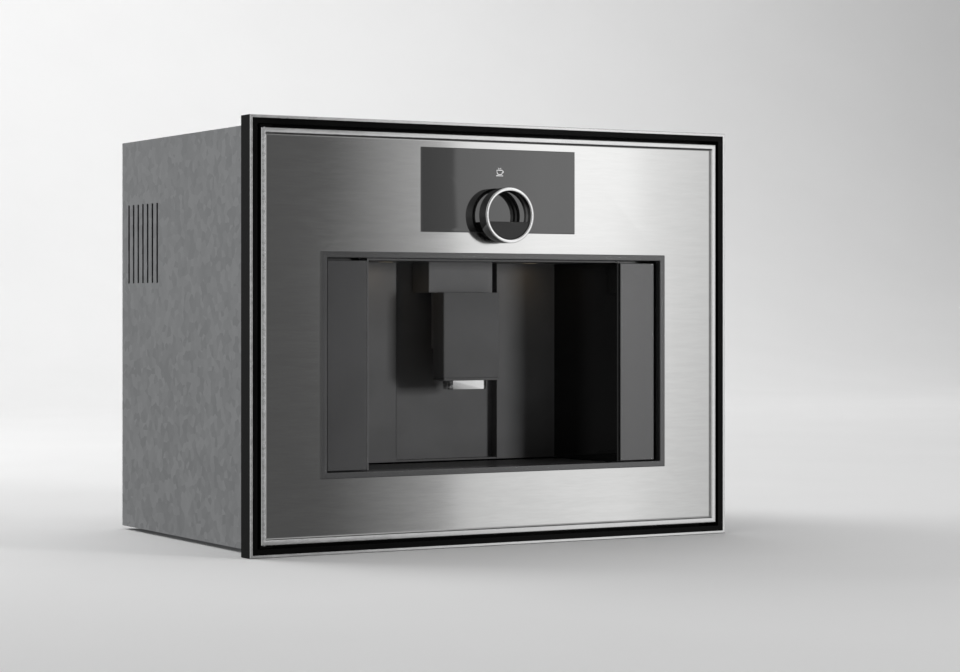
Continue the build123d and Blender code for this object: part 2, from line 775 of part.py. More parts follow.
# ======================= grinding =======================
grinder_low_z = deck_top_z + 106.5
grinder_height = 70.0
grinder_top_z = bean_shelf_top_z - sheet
neck_r = bean_outlet_r + 8.0
grinder_sides = 16
grinder_shoulder = 12.0
lug_r = 7.0
motor_r = 34.0
capacitor_r = 14.0
with BuildPart() as grinder_body:
    with BuildSketch(plan(grinder_low_z)):
        with Locations((bean_mid_x, bean_outlet_depth)):
            RegularPolygon(grinder_r, grinder_sides)
    extrude(amount=grinder_height)
    chamfer(grinder_body.faces().sort_by(Axis.Z)[-1].edges(), grinder_shoulder)
    # neck up to the bean drawer
    with BuildSketch(plan(grinder_low_z + grinder_height)):
        with Locations((bean_mid_x, bean_outlet_depth)):
            Circle(neck_r)
    extrude(amount=grinder_top_z - grinder_low_z - grinder_height)
    with Locations(plan(grinder_top_z)):
        with Locations((bean_mid_x, bean_outlet_depth)):
            Hole(radius=bean_outlet_r, depth=grinder_height)
    # three screw lugs
    with BuildSketch(plan(grinder_low_z + 30)):
        with Locations((bean_mid_x, bean_outlet_depth)):
            with PolarLocations(grinder_r - 2, 3, start_angle=30):
                Rectangle(2 * lug_r, 2 * lug_r)
    extrude(amount=28)
keep(grinder_body.part, "grinder_body")

with BuildPart() as grinder_motor:
    with BuildSketch(plan(deck_top_z)):
        with Locations((bean_mid_x, bean_outlet_depth + 2 * motor_r + 2)):
            Circle(capacitor_r)
        with Locations((bean_mid_x, bean_outlet_depth)):
            RegularPolygon(motor_r, grinder_sides)
    extrude(amount=grinder_low_z - deck_top_z)
keep(grinder_motor.part, "grinder_motor")

funnel_z = grinder_low_z + 25.0
chute_width = 22.0
chute_drop = 12.0
with BuildPart() as grounds_funnel:
    # square chute, sloping down to the brewing chamber
    with BuildSketch(facing(bean_outlet_depth + chute_width / 2)):
        with BuildLine():
            Polyline(
                (bean_mid_x - grinder_r - run_gap, funnel_z + chute_width),
                (bean_mid_x - grinder_r - run_gap, funnel_z),
                (brew_right, funnel_z - chute_drop),
                (brew_right, funnel_z + chute_width - chute_drop),
                close=True,
            )
        make_face()
    extrude(amount=chute_width)
keep(grounds_funnel.part, "grounds_funnel")

# ======================= water =======================
pump_x = 40.0
pump_z = deck_top_z + 34.5
pump_front = deck_front + 56.4
pump_r = 22.0
pump_length = 70.0
nipple_r = 9.0
nipple_length = 22.0
with BuildPart() as pump:
    with BuildSketch(facing(pump_front)):
        with Locations((pump_x, pump_z)):
            Rectangle(2 * pump_r, 2 * pump_r)
    extrude(amount=-pump_length)
    with BuildSketch(facing(pump_front - nipple_length)):
        with Locations((pump_x, pump_z)):
            Circle(nipple_r)
    extrude(amount=-(pump_length + 50))
    # rubber-mounted foot
    with BuildSketch(plan(deck_top_z)):
        with Locations((pump_x, pump_front + pump_length / 2)):
            Rectangle(40, 56)
    extrude(amount=pump_z - 16 - deck_top_z)
keep(pump.part, "pump")

boiler_x = pump_x + 72.0
boiler_width = 54.0
boiler_length = 120.0
boiler_height = 96.0
boiler_front = pump_front - 30.0
boiler_mid = boiler_front + boiler_length / 2
rib_pitch = 12.0
rib_deep = 3.0
with BuildPart() as thermoblock:
    with BuildSketch(plan(deck_top_z)):
        with Locations((boiler_x, boiler_mid)):
            Rectangle(boiler_width, boiler_length)
    extrude(amount=boiler_height)
    chamfer(thermoblock.edges().filter_by(Axis.Z), 5)
    # cooling ribs of the cast block
    with BuildSketch(across(boiler_x + boiler_width / 2)):
        with Locations((boiler_mid, deck_top_z + boiler_height / 2)):
            with GridLocations(0, rib_pitch, 1, 6):
                Rectangle(100, rib_pitch / 2)
    extrude(amount=-rib_deep, mode=Mode.SUBTRACT)
    # water inlet at the front and steam outlet on top
    with BuildSketch(facing(boiler_front)):
        with Locations((boiler_x - 10, pump_z + nipple_length)):
            Circle(nipple_r - 2)
    extrude(amount=6)
    with BuildSketch(plan(deck_top_z + boiler_height)):
        with Locations((boiler_x - 10, boiler_mid + 40)):
            Circle(nipple_r - 2)
    extrude(amount=12)
keep(thermoblock.part, "thermoblock")

socket_x = (tank_inner_x + tank_outer_x) / 2
socket_z = tank_low_z + 22
valve_r = 7.0
valve_bore_r = 2.5
valve_reach = 14.0
with BuildPart() as tank_socket:
    with BuildSketch(facing(tank_back + 32)):
        with Locations((socket_x, socket_z)):
            Rectangle(36, 36)
    extrude(amount=30)
    with BuildSketch(plan(shelf_top_z)):
        span(socket_x - 14, socket_x + 14, tank_back + 4, tank_back + 30)
    extrude(amount=socket_z - 18 - shelf_top_z)
    with Locations(facing(tank_back + 2)):
        with Locations((socket_x, socket_z)):
            Hole(radius=valve_r + run_gap, depth=valve_reach + 6)
keep(tank_socket.part, "tank_socket")

hose_r = 3.5
hose_back = tank_back + 56.0
inlet_front = boiler_front - 6.0
hose_routes = (
    # tank socket to the pump, over the edge of the inner deck
    (((socket_x, tank_back + 32, socket_z), (socket_x, hose_back, socket_z), (socket_x, hose_back, pump_z),
      (pump_x, hose_back, pump_z), (pump_x, pump_front + pump_length + 28, pump_z)), (14, 20, 20)),
    # pump to the heater
    (((pump_x, pump_front - nipple_length, pump_z), (pump_x, inlet_front - 20, pump_z),
      (boiler_x - 10, inlet_front - 20, pump_z + nipple_length),
      (boiler_x - 10, inlet_front, pump_z + nipple_length)), (12, 12)),
)
with BuildPart() as water_hoses:
    for route_points, bend_radii in hose_routes:
        with BuildLine():
            hose_path = FilletPolyline(
                *[(x, front_y + depth, z) for x, depth, z in route_points], radius=list(bend_radii)
            )
        with BuildSketch(Plane(origin=hose_path @ 0, z_dir=hose_path % 0)):
            RegularPolygon(hose_r, 8)
        sweep(path=hose_path)
keep(water_hoses.part, "water_hoses")

# ======================= electrics =======================
board_depth = casing_back - 14.0
board_x = body_half - 157.5
board_z = (body_low_z + body_high_z) / 2 + 14.0
board_width = 220.0
board_height = 150.0
board_thick = 1.6
with BuildPart() as control_board:
    with BuildSketch(facing(board_depth)):
        with Locations((board_x, board_z)):
            Rectangle(board_width, board_height)
    extrude(amount=board_thick)
    # transformer and relays
    with BuildSketch(facing(board_depth - board_thick)):
        with Locations((board_x - 60, board_z + 30), (board_x - 20, board_z - 25), (board_x + 60, board_z + 30)):
            Rectangle(34, 28)
    extrude(amount=18)
    with BuildSketch(facing(board_depth - board_thick)):
        with Locations((board_x + 20, board_z + 50), (board_x + 85, board_z - 35)):
            Circle(9)
    extrude(amount=24)
    # stand-offs on the rear cover
    with BuildSketch(facing(board_depth)):
        with Locations((board_x, board_z)):
            with GridLocations(board_width - 16, board_height - 16, 2, 2):
                Rectangle(7, 7)
    extrude(amount=-(casing_back - board_depth))
keep(control_board.part, "control_board")

pin_pitch = 7.0
inlet_wall = 2.0
socket_deep = 20.0
with BuildPart() as power_inlet:
    with BuildSketch(facing(casing_depth)):
        with Locations((inlet_x, inlet_z)):
            Rectangle(inlet_width, inlet_height)
            Rectangle(inlet_width - 2 * inlet_wall, inlet_height - 2 * inlet_wall, mode=Mode.SUBTRACT)
    extrude(amount=socket_deep + inlet_wall)
    with BuildSketch(facing(casing_depth - socket_deep)):
        with Locations((inlet_x, inlet_z)):
            Rectangle(inlet_width, inlet_height)
    extrude(amount=inlet_wall)
    # collar against the inside of the rear cover
    with BuildSketch(facing(casing_back)):
        with Locations((inlet_x, inlet_z)):
            Rectangle(inlet_width + 16, inlet_height + 4)
            Rectangle(inlet_width - 1, inlet_height - 1, mode=Mode.SUBTRACT)
    extrude(amount=inlet_wall)
    with BuildSketch(facing(casing_depth - 3)):
        with Locations((inlet_x - pin_pitch, inlet_z - 2), (inlet_x + pin_pitch, inlet_z - 2),
                       (inlet_x, inlet_z + 2)):
            Rectangle(2, 4)
    extrude(amount=socket_deep - 3)
keep(power_inlet.part, "power_inlet")

# ======================= door =======================
with BuildPart() as door_rim:
    with BuildSketch(facing(rim_depth)):
        frame_ring(door_inset, door_inset + rim_width)
    extrude(amount=rim_depth)
    chamfer(door_rim.faces().sort_by(Axis.Y)[0].edges(), 0.6)
    # bushed pin holes in the two left corners
    for hole_low, hole_high in ((door_high_z - pin_reach - seam, door_high_z),
                                (door_low_z, door_low_z + pin_reach + seam)):
        with BuildSketch(plan(hole_low)):
            with Locations((hinge_x, hinge_depth)):
                Circle(hinge_pin_r + pin_gap)
        extrude(amount=hole_high - hole_low, mode=Mode.SUBTRACT)
keep(door_rim.part, "door_rim")

glass_low_z = glass_center_z - glass_height / 2
glass_high_z = glass_center_z + glass_height / 2
module_depth = 18.0
post_r = 5.0
post_z = ring_z - core_flat_drop - post_r - 0.5
with BuildPart() as door_panel:
    with BuildSketch(facing(panel_back)):
        span(-door_half + rim_width, door_half - rim_width,
             door_low_z + rim_width, door_high_z - rim_width)
        with Locations((0, trim_center_z)):
            Rectangle(trim_width_outer - 2 * (trim_bar - trim_wall),
                      trim_height_outer - 2 * (trim_bar - trim_wall), mode=Mode.SUBTRACT)
        with Locations((0, glass_center_z)):
            Rectangle(glass_width, glass_height, mode=Mode.SUBTRACT)
    extrude(amount=panel_thick)
keep(door_panel.part, "door_panel")

with BuildPart() as niche_trim:
    with BuildSketch(facing(panel_setback)):
        aperture_ring(0, -trim_bar)
    extrude(amount=panel_setback - trim_front)
    with BuildSketch(facing(trim_back)):
        aperture_ring(-(trim_bar - trim_wall), -trim_bar)
    extrude(amount=trim_back - panel_setback)
    chamfer(niche_trim.faces().sort_by(Axis.Y)[0].edges(), 0.4)
keep(niche_trim.part, "niche_trim")

core_r = ring_bore_r - run_gap
with BuildPart() as display_glass:
    with BuildSketch(facing(glass_front + glass_thick)):
        with Locations((0, glass_center_z)):
            Rectangle(glass_width, glass_height)
        with Locations((0, post_z)):
            Circle(post_r, mode=Mode.SUBTRACT)
    extrude(amount=glass_thick)
    chamfer(display_glass.faces().sort_by(Axis.Y)[0].outer_wire().edges(), 0.4)
keep(display_glass.part, "display_glass")

with BuildPart() as display_module:
    with BuildSketch(facing(module_depth)):
        with Locations((0, glass_center_z)):
            Rectangle(glass_width - 12, glass_height - 8)
        with Locations((0, post_z)):
            Circle(post_r + 1, mode=Mode.SUBTRACT)
    extrude(amount=module_depth - glass_front - glass_thick)
    # connectors on its back
    with BuildSketch(facing(module_depth + 3)):
        with Locations((glass_width / 4, glass_center_z + 10)):
            Rectangle(40, 26)
        with Locations((-glass_width / 4, glass_center_z + 10)):
            Rectangle(26, 40)
    extrude(amount=3)
keep(display_module.part, "display_module")

bumper_x = liner_half - 18.0
bumper_z = (liner_low_z + 13.0, liner_high_z - 8.0)
with BuildPart() as door_liner:
    with BuildSketch(facing(door_depth)):
        span(-liner_half, liner_half, liner_low_z, liner_high_z)
        with Locations((0, trim_center_z)):
            Rectangle(trim_width_outer, trim_height_outer, mode=Mode.SUBTRACT)
    extrude(amount=liner_sheet)
    with BuildSketch(facing(door_depth - liner_sheet)):
        span(-liner_half, liner_half, liner_low_z, liner_high_z)
        span(-liner_half + liner_sheet, liner_half - liner_sheet,
             liner_low_z + liner_sheet, liner_high_z - liner_sheet, mode=Mode.SUBTRACT)
    extrude(amount=door_depth - liner_sheet - panel_back)
    fillet(door_liner.edges().filter_by(Axis.Y).group_by(SortBy.LENGTH)[-1], 3)
    with BuildSketch(facing(door_depth - liner_sheet)):
        aperture_ring(liner_sheet, 0)
    extrude(amount=door_depth - liner_sheet - panel_back)
    # pockets for the catch plates
    with BuildSketch(facing(door_depth)):
        with Locations(*[(catch_x, z) for z in catch_z]):
            Rectangle(catch_length, catch_height)
    extrude(amount=catch_plate, mode=Mode.SUBTRACT)
    # shallow panel pressed into the back above the aperture
    with BuildSketch(facing(door_depth)):
        with Locations((-20, (trim_high_z + liner_high_z) / 2)):
            RectangleRounded(trim_width_outer - 30, liner_high_z - trim_high_z - 28, 10)
    extrude(amount=0.8, mode=Mode.SUBTRACT)
keep(door_liner.part, "door_liner")

with BuildPart() as catch_plates:
    with BuildSketch(facing(door_depth)):
        with Locations(*[(catch_x, z) for z in catch_z]):
            Rectangle(catch_length, catch_height)
    extrude(amount=catch_plate)
keep(catch_plates.part, "catch_plates")

bumper_r = 5.0
bumper_thick = chassis_depth - door_depth - run_gap
with BuildPart() as door_bumpers:
    with BuildSketch(facing(door_depth)):
        with Locations(*[(x, z) for x in (-bumper_x, bumper_x) for z in bumper_z]):
            Circle(bumper_r)
    extrude(amount=-bumper_thick)
keep(door_bumpers.part, "door_bumpers")

block_height = 22.0
block_low = (door_high_z - rim_width - block_height, door_low_z + rim_width)
with BuildPart() as door_bushings:
    for block_z in block_low:
        with BuildSketch(facing(rim_depth)):
            span(-door_half + rim_width, -liner_half, block_z, block_z + block_height)
        extrude(amount=rim_depth - panel_back)
    for hole_low in (door_high_z - pin_reach - seam, door_low_z):
        with BuildSketch(plan(hole_low)):
            with Locations((hinge_x, hinge_depth)):
                Circle(hinge_pin_r + pin_gap)
        extrude(amount=pin_reach + seam, mode=Mode.SUBTRACT)
keep(door_bushings.part, "door_bushings")

# ======================= control ring and its half-moon core =======================
core_front = ring_front + 1.2
groove_mid = (ring_front + ring_back) / 2 + 1
tongue_r = ring_bore_r + groove_deep - run_gap
with BuildPart() as ring_core:
    # the half-moon that fills the lower part of the ring and stands off the glass
    with BuildSketch(facing(glass_front)):
        with Locations((0, ring_z)):
            Circle(core_r)
        span(-core_r, core_r, ring_z - core_flat_drop, ring_z + core_r, mode=Mode.SUBTRACT)
    extrude(amount=glass_front - core_front)
    # tongue that the ring's groove runs on
    with BuildSketch(facing(groove_mid + groove_width / 2 - run_gap)):
        with Locations((0, ring_z)):
            Circle(tongue_r)
        span(-tongue_r, tongue_r, ring_z - core_flat_drop, ring_z + tongue_r, mode=Mode.SUBTRACT)
    extrude(amount=groove_width - 2 * run_gap)
    chamfer(ring_core.faces().sort_by(Axis.Y)[0].edges(), 0.5)
    # stem through the glass into the display module
    with BuildSketch(facing(module_depth - seam)):
        with Locations((0, post_z)):
            Circle(post_r - 2 * pin_gap)
    extrude(amount=module_depth - seam - glass_front)
keep(ring_core.part, "ring_core")

with BuildPart() as control_ring:
    with BuildSketch(across(0)):
        with Locations(((ring_front + ring_back) / 2, ring_z + (ring_r + ring_bore_r) / 2)):
            Rectangle(ring_length, ring_r - ring_bore_r)
        with Locations((groove_mid, ring_z + ring_bore_r + groove_deep / 2)):
            Rectangle(groove_width, groove_deep, mode=Mode.SUBTRACT)
    revolve(axis=Axis((0, 0, ring_z), (0, 1, 0)), revolution_arc=360)
    chamfer(control_ring.edges().filter_by(GeomType.CIRCLE).group_by(Axis.Y)[0], 0.35)
keep(control_ring.part, "control_ring")

# ======================= water tank =======================
tank_front_depth = chassis_depth + cover_sheet
tank_width = tank_outer_x - tank_inner_x
tank_depth = tank_back - tank_front_depth
tank_mid = (socket_x, (tank_front_depth + tank_back) / 2)
tank_corner = 6.0
neck_bore_r = valve_r - 1.5
with BuildPart() as tank_body:
    with BuildSketch(plan(tank_low_z)):
        with Locations(tank_mid):
            Rectangle(tank_width, tank_depth)
    extrude(amount=tank_high_z - tank_low_z)
    chamfer(tank_body.edges().filter_by(Axis.Z), tank_corner)
    with BuildSketch(plan(tank_low_z + tank_wall)):
        with Locations(tank_mid):
            Rectangle(tank_width - 2 * tank_wall, tank_depth - 2 * tank_wall)
        chamfer(vertices(), tank_corner - 1)
    extrude(amount=tank_high_z - tank_low_z, mode=Mode.SUBTRACT)
    with BuildSketch(facing(tank_back)):
        with Locations((socket_x, socket_z)):
            Circle(neck_bore_r)
    extrude(amount=tank_wall, mode=Mode.SUBTRACT)
keep(tank_body.part, "tank_body")

with BuildPart() as tank_valve:
    with BuildSketch(facing(tank_back + valve_reach)):
        with Locations((socket_x, socket_z)):
            Circle(valve_r)
            Circle(valve_bore_r, mode=Mode.SUBTRACT)
    extrude(amount=valve_reach)
    with BuildSketch(facing(tank_back)):
        with Locations((socket_x, socket_z)):
            Circle(neck_bore_r - pin_gap)
            Circle(valve_bore_r, mode=Mode.SUBTRACT)
    extrude(amount=tank_wall)
    # nut inside the tank
    with BuildSketch(facing(tank_back - tank_wall)):
        with Locations((socket_x, socket_z)):
            RegularPolygon(valve_r + 3, 6)
            Circle(valve_bore_r, mode=Mode.SUBTRACT)
    extrude(amount=4)
keep(tank_valve.part, "tank_valve")

lid_thick = 3.0
lid_rim = 4.0
lid_rim_wall = 2.0
fill_length = 62.0
fill_width = 40.0
fill_mid = (socket_x, tank_front_depth + 60.0)
with BuildPart() as tank_lid:
    with BuildSketch(plan(tank_high_z)):
        with Locations(tank_mid):
            Rectangle(tank_width, tank_depth)
        chamfer(vertices(), tank_corner)
    extrude(amount=lid_thick)
    # rim that drops into the tank
    with BuildSketch(plan(tank_high_z)):
        with Locations(tank_mid):
            Rectangle(tank_width - 2 * tank_wall - seam, tank_depth - 2 * tank_wall - seam)
        chamfer(vertices(), tank_corner)
        with Locations(tank_mid):
            Rectangle(tank_width - 2 * tank_wall - seam - 2 * lid_rim_wall,
                      tank_depth - 2 * tank_wall - seam - 2 * lid_rim_wall, mode=Mode.SUBTRACT)
    extrude(amount=-lid_rim)
    # filling hole
    with BuildSketch(plan(tank_high_z)):
        with Locations(fill_mid):
            Rectangle(fill_width, fill_length)
        chamfer(vertices(), tank_corner)
    extrude(amount=lid_thick, mode=Mode.SUBTRACT)
keep(tank_lid.part, "tank_lid")

# ======================= drip tray =======================
tray_top_z = floor_z - 4.0
tray_front_half = niche_half_width + seam
grid_front = trim_back + 2.0
grid_back = niche_depth - 1.0
tray_split = grid_back + 14
float_place = (tray_half - 44.0, chassis_depth + 43.0)
float_r = 9.0
with BuildPart() as drip_tray:
    with BuildSketch(plan(tray_low_z)):
        span(-tray_half, tray_half, chassis_depth, tray_back)
    extrude(amount=tray_top_z - tray_low_z)
    chamfer(drip_tray.edges().filter_by(Axis.Z).sort_by(Axis.Y)[-2:], tray_wall)
    with BuildSketch(plan(tray_low_z + tray_wall)):
        span(-tray_half + tray_wall, tray_half - tray_wall, chassis_depth + tray_wall, tray_split)
        span(-tray_half + tray_wall, tray_half - tray_wall, tray_split + tray_wall,
             tray_back - tray_wall)
    extrude(amount=tray_top_z - tray_low_z, mode=Mode.SUBTRACT)
    with BuildSketch(facing(chassis_depth + 2)):
        span(-tray_front_half, tray_front_half, tray_low_z, tray_top_z)
    extrude(amount=2)
    # pull recess under the front
    with BuildSketch(facing(chassis_depth)):
        with Locations((0, tray_low_z + 12)):
            SlotOverall(120, 16)
    extrude(amount=-recess_deep, mode=Mode.SUBTRACT)
    # two ribs that keep the float in its place
    with BuildSketch(plan(tray_low_z + tray_wall)):
        with Locations(float_place):
            with GridLocations(2 * float_r + 3, 0, 2, 1):
                Rectangle(2, 2 * float_r)
    extrude(amount=10)
keep(drip_tray.part, "drip_tray")

slat_pitch = 8.0
slat_gap = 3.2
slat_count = int((2 * tray_half - 20) / slat_pitch)
slat_length = grid_back - grid_front - 30.0
slat_mid = (0, (grid_front + 18 + grid_back) / 2)
with BuildPart() as drip_grid:
    with BuildSketch(plan(tray_top_z)):
        span(-tray_half, tray_half, grid_front, grid_back)
    extrude(amount=floor_z - tray_top_z)
    with BuildSketch(plan(tray_top_z)):
        with Locations(slat_mid):
            with GridLocations(slat_pitch, 0, slat_count, 1):
                Rectangle(slat_gap, slat_length)
    extrude(amount=floor_z - tray_top_z, mode=Mode.SUBTRACT)
    # relieved underside, so that the slats are thinner than the border
    with BuildSketch(plan(tray_top_z)):
        with Locations(slat_mid):
            Rectangle(slat_pitch * slat_count, slat_length)
    extrude(amount=1.5, mode=Mode.SUBTRACT)
    chamfer(drip_grid.faces().sort_by(Axis.Z)[-1].outer_wire().edges(), 0.5)
keep(drip_grid.part, "drip_grid")

bin_front = tray_split + tray_wall + seam
bin_back = tray_back - tray_wall - seam
bin_low_z = tray_low_z + tray_wall
bin_wall = 2.0
bin_corner = 8.0
float_height = 20.0
float_stem = 18.0
with BuildPart() as grounds_container:
    with BuildSketch(plan(bin_low_z)):
        with Locations(((bin_left + bin_right) / 2, (bin_front + bin_back) / 2)):
            RectangleRounded(bin_width, bin_back - bin_front, bin_corner)
    extrude(amount=floor_z - bin_low_z - 3)
    with BuildSketch(plan(bin_low_z + bin_wall)):
        with Locations(((bin_left + bin_right) / 2, (bin_front + bin_back) / 2)):
            RectangleRounded(bin_width - 2 * bin_wall, bin_back - bin_front - 2 * bin_wall,
                             bin_corner - bin_wall)
    extrude(amount=floor_z, mode=Mode.SUBTRACT)
keep(grounds_container.part, "grounds_container")

with BuildPart() as tray_float:
    with BuildSketch(plan(bin_low_z + run_gap)):
        with Locations(float_place):
            RegularPolygon(float_r, 8)
    extrude(amount=float_height)
    with BuildSketch(plan(bin_low_z + run_gap + float_height)):
        with Locations(float_place):
            Circle(float_r / 3)
    extrude(amount=float_stem)
keep(tray_float.part, "tray_float")

# ======================= bean drawer =======================
bean_wall = 2.5
hopper_break_z = bean_low_z + 40.0
bean_lid_thick = 2.5
bean_grip_height = 1.5
hopper_floor_z = bean_low_z + 4.0
# space inside the hopper: where its side view and its front view cross, sloping to the outlet
with BuildPart() as hopper_space:
    with BuildSketch(across(bean_left_x + bean_wall)):
        with BuildLine():
            Polyline(
                (chassis_depth + bean_wall, bean_high_z),
                (chassis_depth + bean_wall, hopper_break_z),
                (bean_outlet_depth - bean_outlet_r, hopper_floor_z),
                (bean_outlet_depth + bean_outlet_r, hopper_floor_z),
                (bean_back - bean_wall, hopper_break_z),
                (bean_back - bean_wall, bean_high_z),
                close=True,
            )
        make_face()
    extrude(amount=bean_width - 2 * bean_wall)
    with BuildSketch(facing(bean_back)):
        with BuildLine():
            Polyline(
                (bean_left_x + bean_wall, bean_high_z),
                (bean_left_x + bean_wall, hopper_break_z),
                (bean_mid_x - bean_outlet_r, hopper_floor_z),
                (bean_mid_x + bean_outlet_r, hopper_floor_z),
                (bean_right_x - bean_wall, hopper_break_z),
                (bean_right_x - bean_wall, bean_high_z),
                close=True,
            )
        make_face()
    extrude(amount=bean_back - chassis_depth, mode=Mode.INTERSECT)

with BuildPart() as bean_container:
    with BuildSketch(plan(bean_low_z)):
        with Locations((bean_mid_x, (chassis_depth + bean_back) / 2)):
            Rectangle(bean_width, bean_back - chassis_depth)
    extrude(amount=bean_high_z - bean_low_z)
    add(hopper_space.part, mode=Mode.SUBTRACT)
    with BuildSketch(plan(bean_low_z)):
        with Locations((bean_mid_x, bean_outlet_depth)):
            Circle(bean_outlet_r - 1)
    extrude(amount=5, mode=Mode.SUBTRACT)
    # pull recess across the front
    with BuildSketch(facing(chassis_depth)):
        with Locations((bean_mid_x, bean_high_z - 14)):
            SlotOverall(70, 14)
    extrude(amount=-recess_deep, mode=Mode.SUBTRACT)
keep(bean_container.part, "bean_container")

with BuildPart() as bean_lid:
    with BuildSketch(plan(bean_high_z)):
        with Locations((bean_mid_x, (chassis_depth + bean_back) / 2)):
            Rectangle(bean_width, bean_back - chassis_depth)
    extrude(amount=bean_lid_thick)
    with BuildSketch(plan(bean_high_z + bean_lid_thick)):
        with Locations((bean_mid_x, chassis_depth + 43)):
            Rectangle(50, 14)
    extrude(amount=bean_grip_height)
keep(bean_lid.part, "bean_lid")
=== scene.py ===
import json
import math

import bmesh
import bpy
from bpy.props import FloatProperty, FloatVectorProperty, IntProperty, PointerProperty
from bpy.types import NodeSocket, Operator, Panel, PropertyGroup
from mathutils import Matrix, Vector


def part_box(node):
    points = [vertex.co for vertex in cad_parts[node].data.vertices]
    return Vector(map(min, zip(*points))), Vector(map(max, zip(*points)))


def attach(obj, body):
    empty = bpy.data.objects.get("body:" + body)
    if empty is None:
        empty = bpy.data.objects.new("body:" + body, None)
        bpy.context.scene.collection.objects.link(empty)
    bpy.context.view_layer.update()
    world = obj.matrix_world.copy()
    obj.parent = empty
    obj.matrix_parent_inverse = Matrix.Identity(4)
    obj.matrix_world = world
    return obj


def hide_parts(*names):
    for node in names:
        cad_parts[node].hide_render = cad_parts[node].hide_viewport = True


bl_info = {
    "name": "Built-in coffee machine",
    "version": (1, 0, 0),
    "blender": (4, 5, 0),
    "location": "View3D > Sidebar > Coffee machine",
    "description": "Finishes, small parts and studio of a built-in coffee machine",
    "category": "Object",
}

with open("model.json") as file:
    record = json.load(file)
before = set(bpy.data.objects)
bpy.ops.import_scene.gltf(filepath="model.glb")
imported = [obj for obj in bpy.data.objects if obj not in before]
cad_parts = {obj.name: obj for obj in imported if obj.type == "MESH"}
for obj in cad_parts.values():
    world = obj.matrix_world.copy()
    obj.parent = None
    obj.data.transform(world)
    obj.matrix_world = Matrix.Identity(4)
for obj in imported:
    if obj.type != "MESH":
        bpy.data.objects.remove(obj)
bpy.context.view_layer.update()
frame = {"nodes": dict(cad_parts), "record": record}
MM = 0.001
MERGE = 1e-6        # points nearer to each other than this are one
ON_PLANE = 1e-5     # a point nearer to a plane than this lies on it
ON_AXIS = 1e-5      # radius of the tiny hole in the middle of a turned disc
CUT = 1e-7          # a cut that passes a point nearer than this uses the point
AXES = [Vector(row) for row in Matrix.Identity(3)]
X, Y, Z = 0, 1, 2
BODY_OF = {node: body for body, nodes in frame["record"]["behaviour"]["bodies"].items() for node in nodes}
SLOT_OF = {row["node"]: row["material_slot"] for row in frame["record"]["subparts"]}
LENGTH = {"subtype": "DISTANCE", "unit": "LENGTH"}


# ---------------------------------------------------------------- settings
class SteelSettings(PropertyGroup):
    """Sizes and colours of the steel front."""

    sheet_light: FloatVectorProperty(
        name="Sheet, light", description="Lighter streaks of the brushing", subtype="COLOR",
        default=(0.665, 0.665, 0.66))
    sheet_dark: FloatVectorProperty(
        name="Sheet, dark", description="Darker streaks of the brushing", subtype="COLOR",
        default=(0.635, 0.635, 0.63))
    polished: FloatVectorProperty(
        name="Polished steel", description="Rim, frame edge and ring", subtype="COLOR",
        default=(0.80, 0.80, 0.80))
    edge_round: FloatProperty(
        name="Edge rounding", description="Radius of the rim's and the trim's edges",
        default=0.4 * MM, **LENGTH)
    bright_lip: FloatProperty(
        name="Bright lip", description="Depth of the frame's lip in front of its black sides",
        default=0.4 * MM, **LENGTH)
    panel_seam: FloatProperty(
        name="Panel seam", description="Dark seam between the rim and the panel", default=0.45 * MM, **LENGTH)
    panel_roll: FloatProperty(
        name="Panel roll", description="Width of the panel's rolled outer edge", default=2.0 * MM, **LENGTH)
    panel_roll_depth: FloatProperty(
        name="Panel roll depth", description="How far the rolled edge falls back", default=0.5 * MM, **LENGTH)
    crown: FloatProperty(
        name="Rim crown", description="How far the rim's face stands out in its middle",
        default=0.05 * MM, **LENGTH)


class NicheSettings(PropertyGroup):
    """Sizes and colours of the niche and the spout."""

    satin: FloatVectorProperty(
        name="Satin anthracite", description="Niche walls, and two shades for the spout", subtype="COLOR",
        default=(0.081, 0.081, 0.082))
    strip: FloatVectorProperty(
        name="Strip anthracite", description="Side strips and trim of the niche", subtype="COLOR",
        default=(0.031, 0.031, 0.032))
    gloss: FloatVectorProperty(
        name="Gloss black", description="Niche's right wall, and darker the frame's band", subtype="COLOR",
        default=(0.006, 0.006, 0.006))
    seam_place: FloatProperty(
        name="Seam place", description="Middle of the seam in the back wall", default=-64.9 * MM, **LENGTH)
    seam_width: FloatProperty(
        name="Seam width", description="Width of the seam in the back wall", default=0.5 * MM, **LENGTH)
    seam_end: FloatProperty(
        name="Seam ends", description="Seam's ends to the top and the bottom of the niche's shell",
        default=5.0 * MM, **LENGTH)
    seam_proud: FloatProperty(
        name="Seam proud", description="How far the seam stands in front of the wall",
        default=0.1 * MM, **LENGTH)
    seam_sunk: FloatProperty(
        name="Seam sunk", description="How far the seam reaches into the wall", default=0.3 * MM, **LENGTH)
    edge_round: FloatProperty(
        name="Edge rounding", description="Radius of the moulded edges", default=0.6 * MM, **LENGTH)
    head_corner: FloatProperty(
        name="Head corners", description="Radius of the spout head's upright edges",
        default=2.0 * MM, **LENGTH)
    head_seam_height: FloatProperty(
        name="Head seam height", description="Seam above the head's underside", default=3.0 * MM, **LENGTH)
    head_seam: FloatProperty(
        name="Head seam", description="Width of the seam round the spout head", default=0.4 * MM, **LENGTH)
    lamp_radius: FloatProperty(
        name="Lamp radius", description="Radius of a niche lamp", default=8.0 * MM, **LENGTH)
    lamp_power: FloatProperty(
        name="Lamp power", description="Warm lamps in the niche ceiling", unit="POWER", default=0.005)


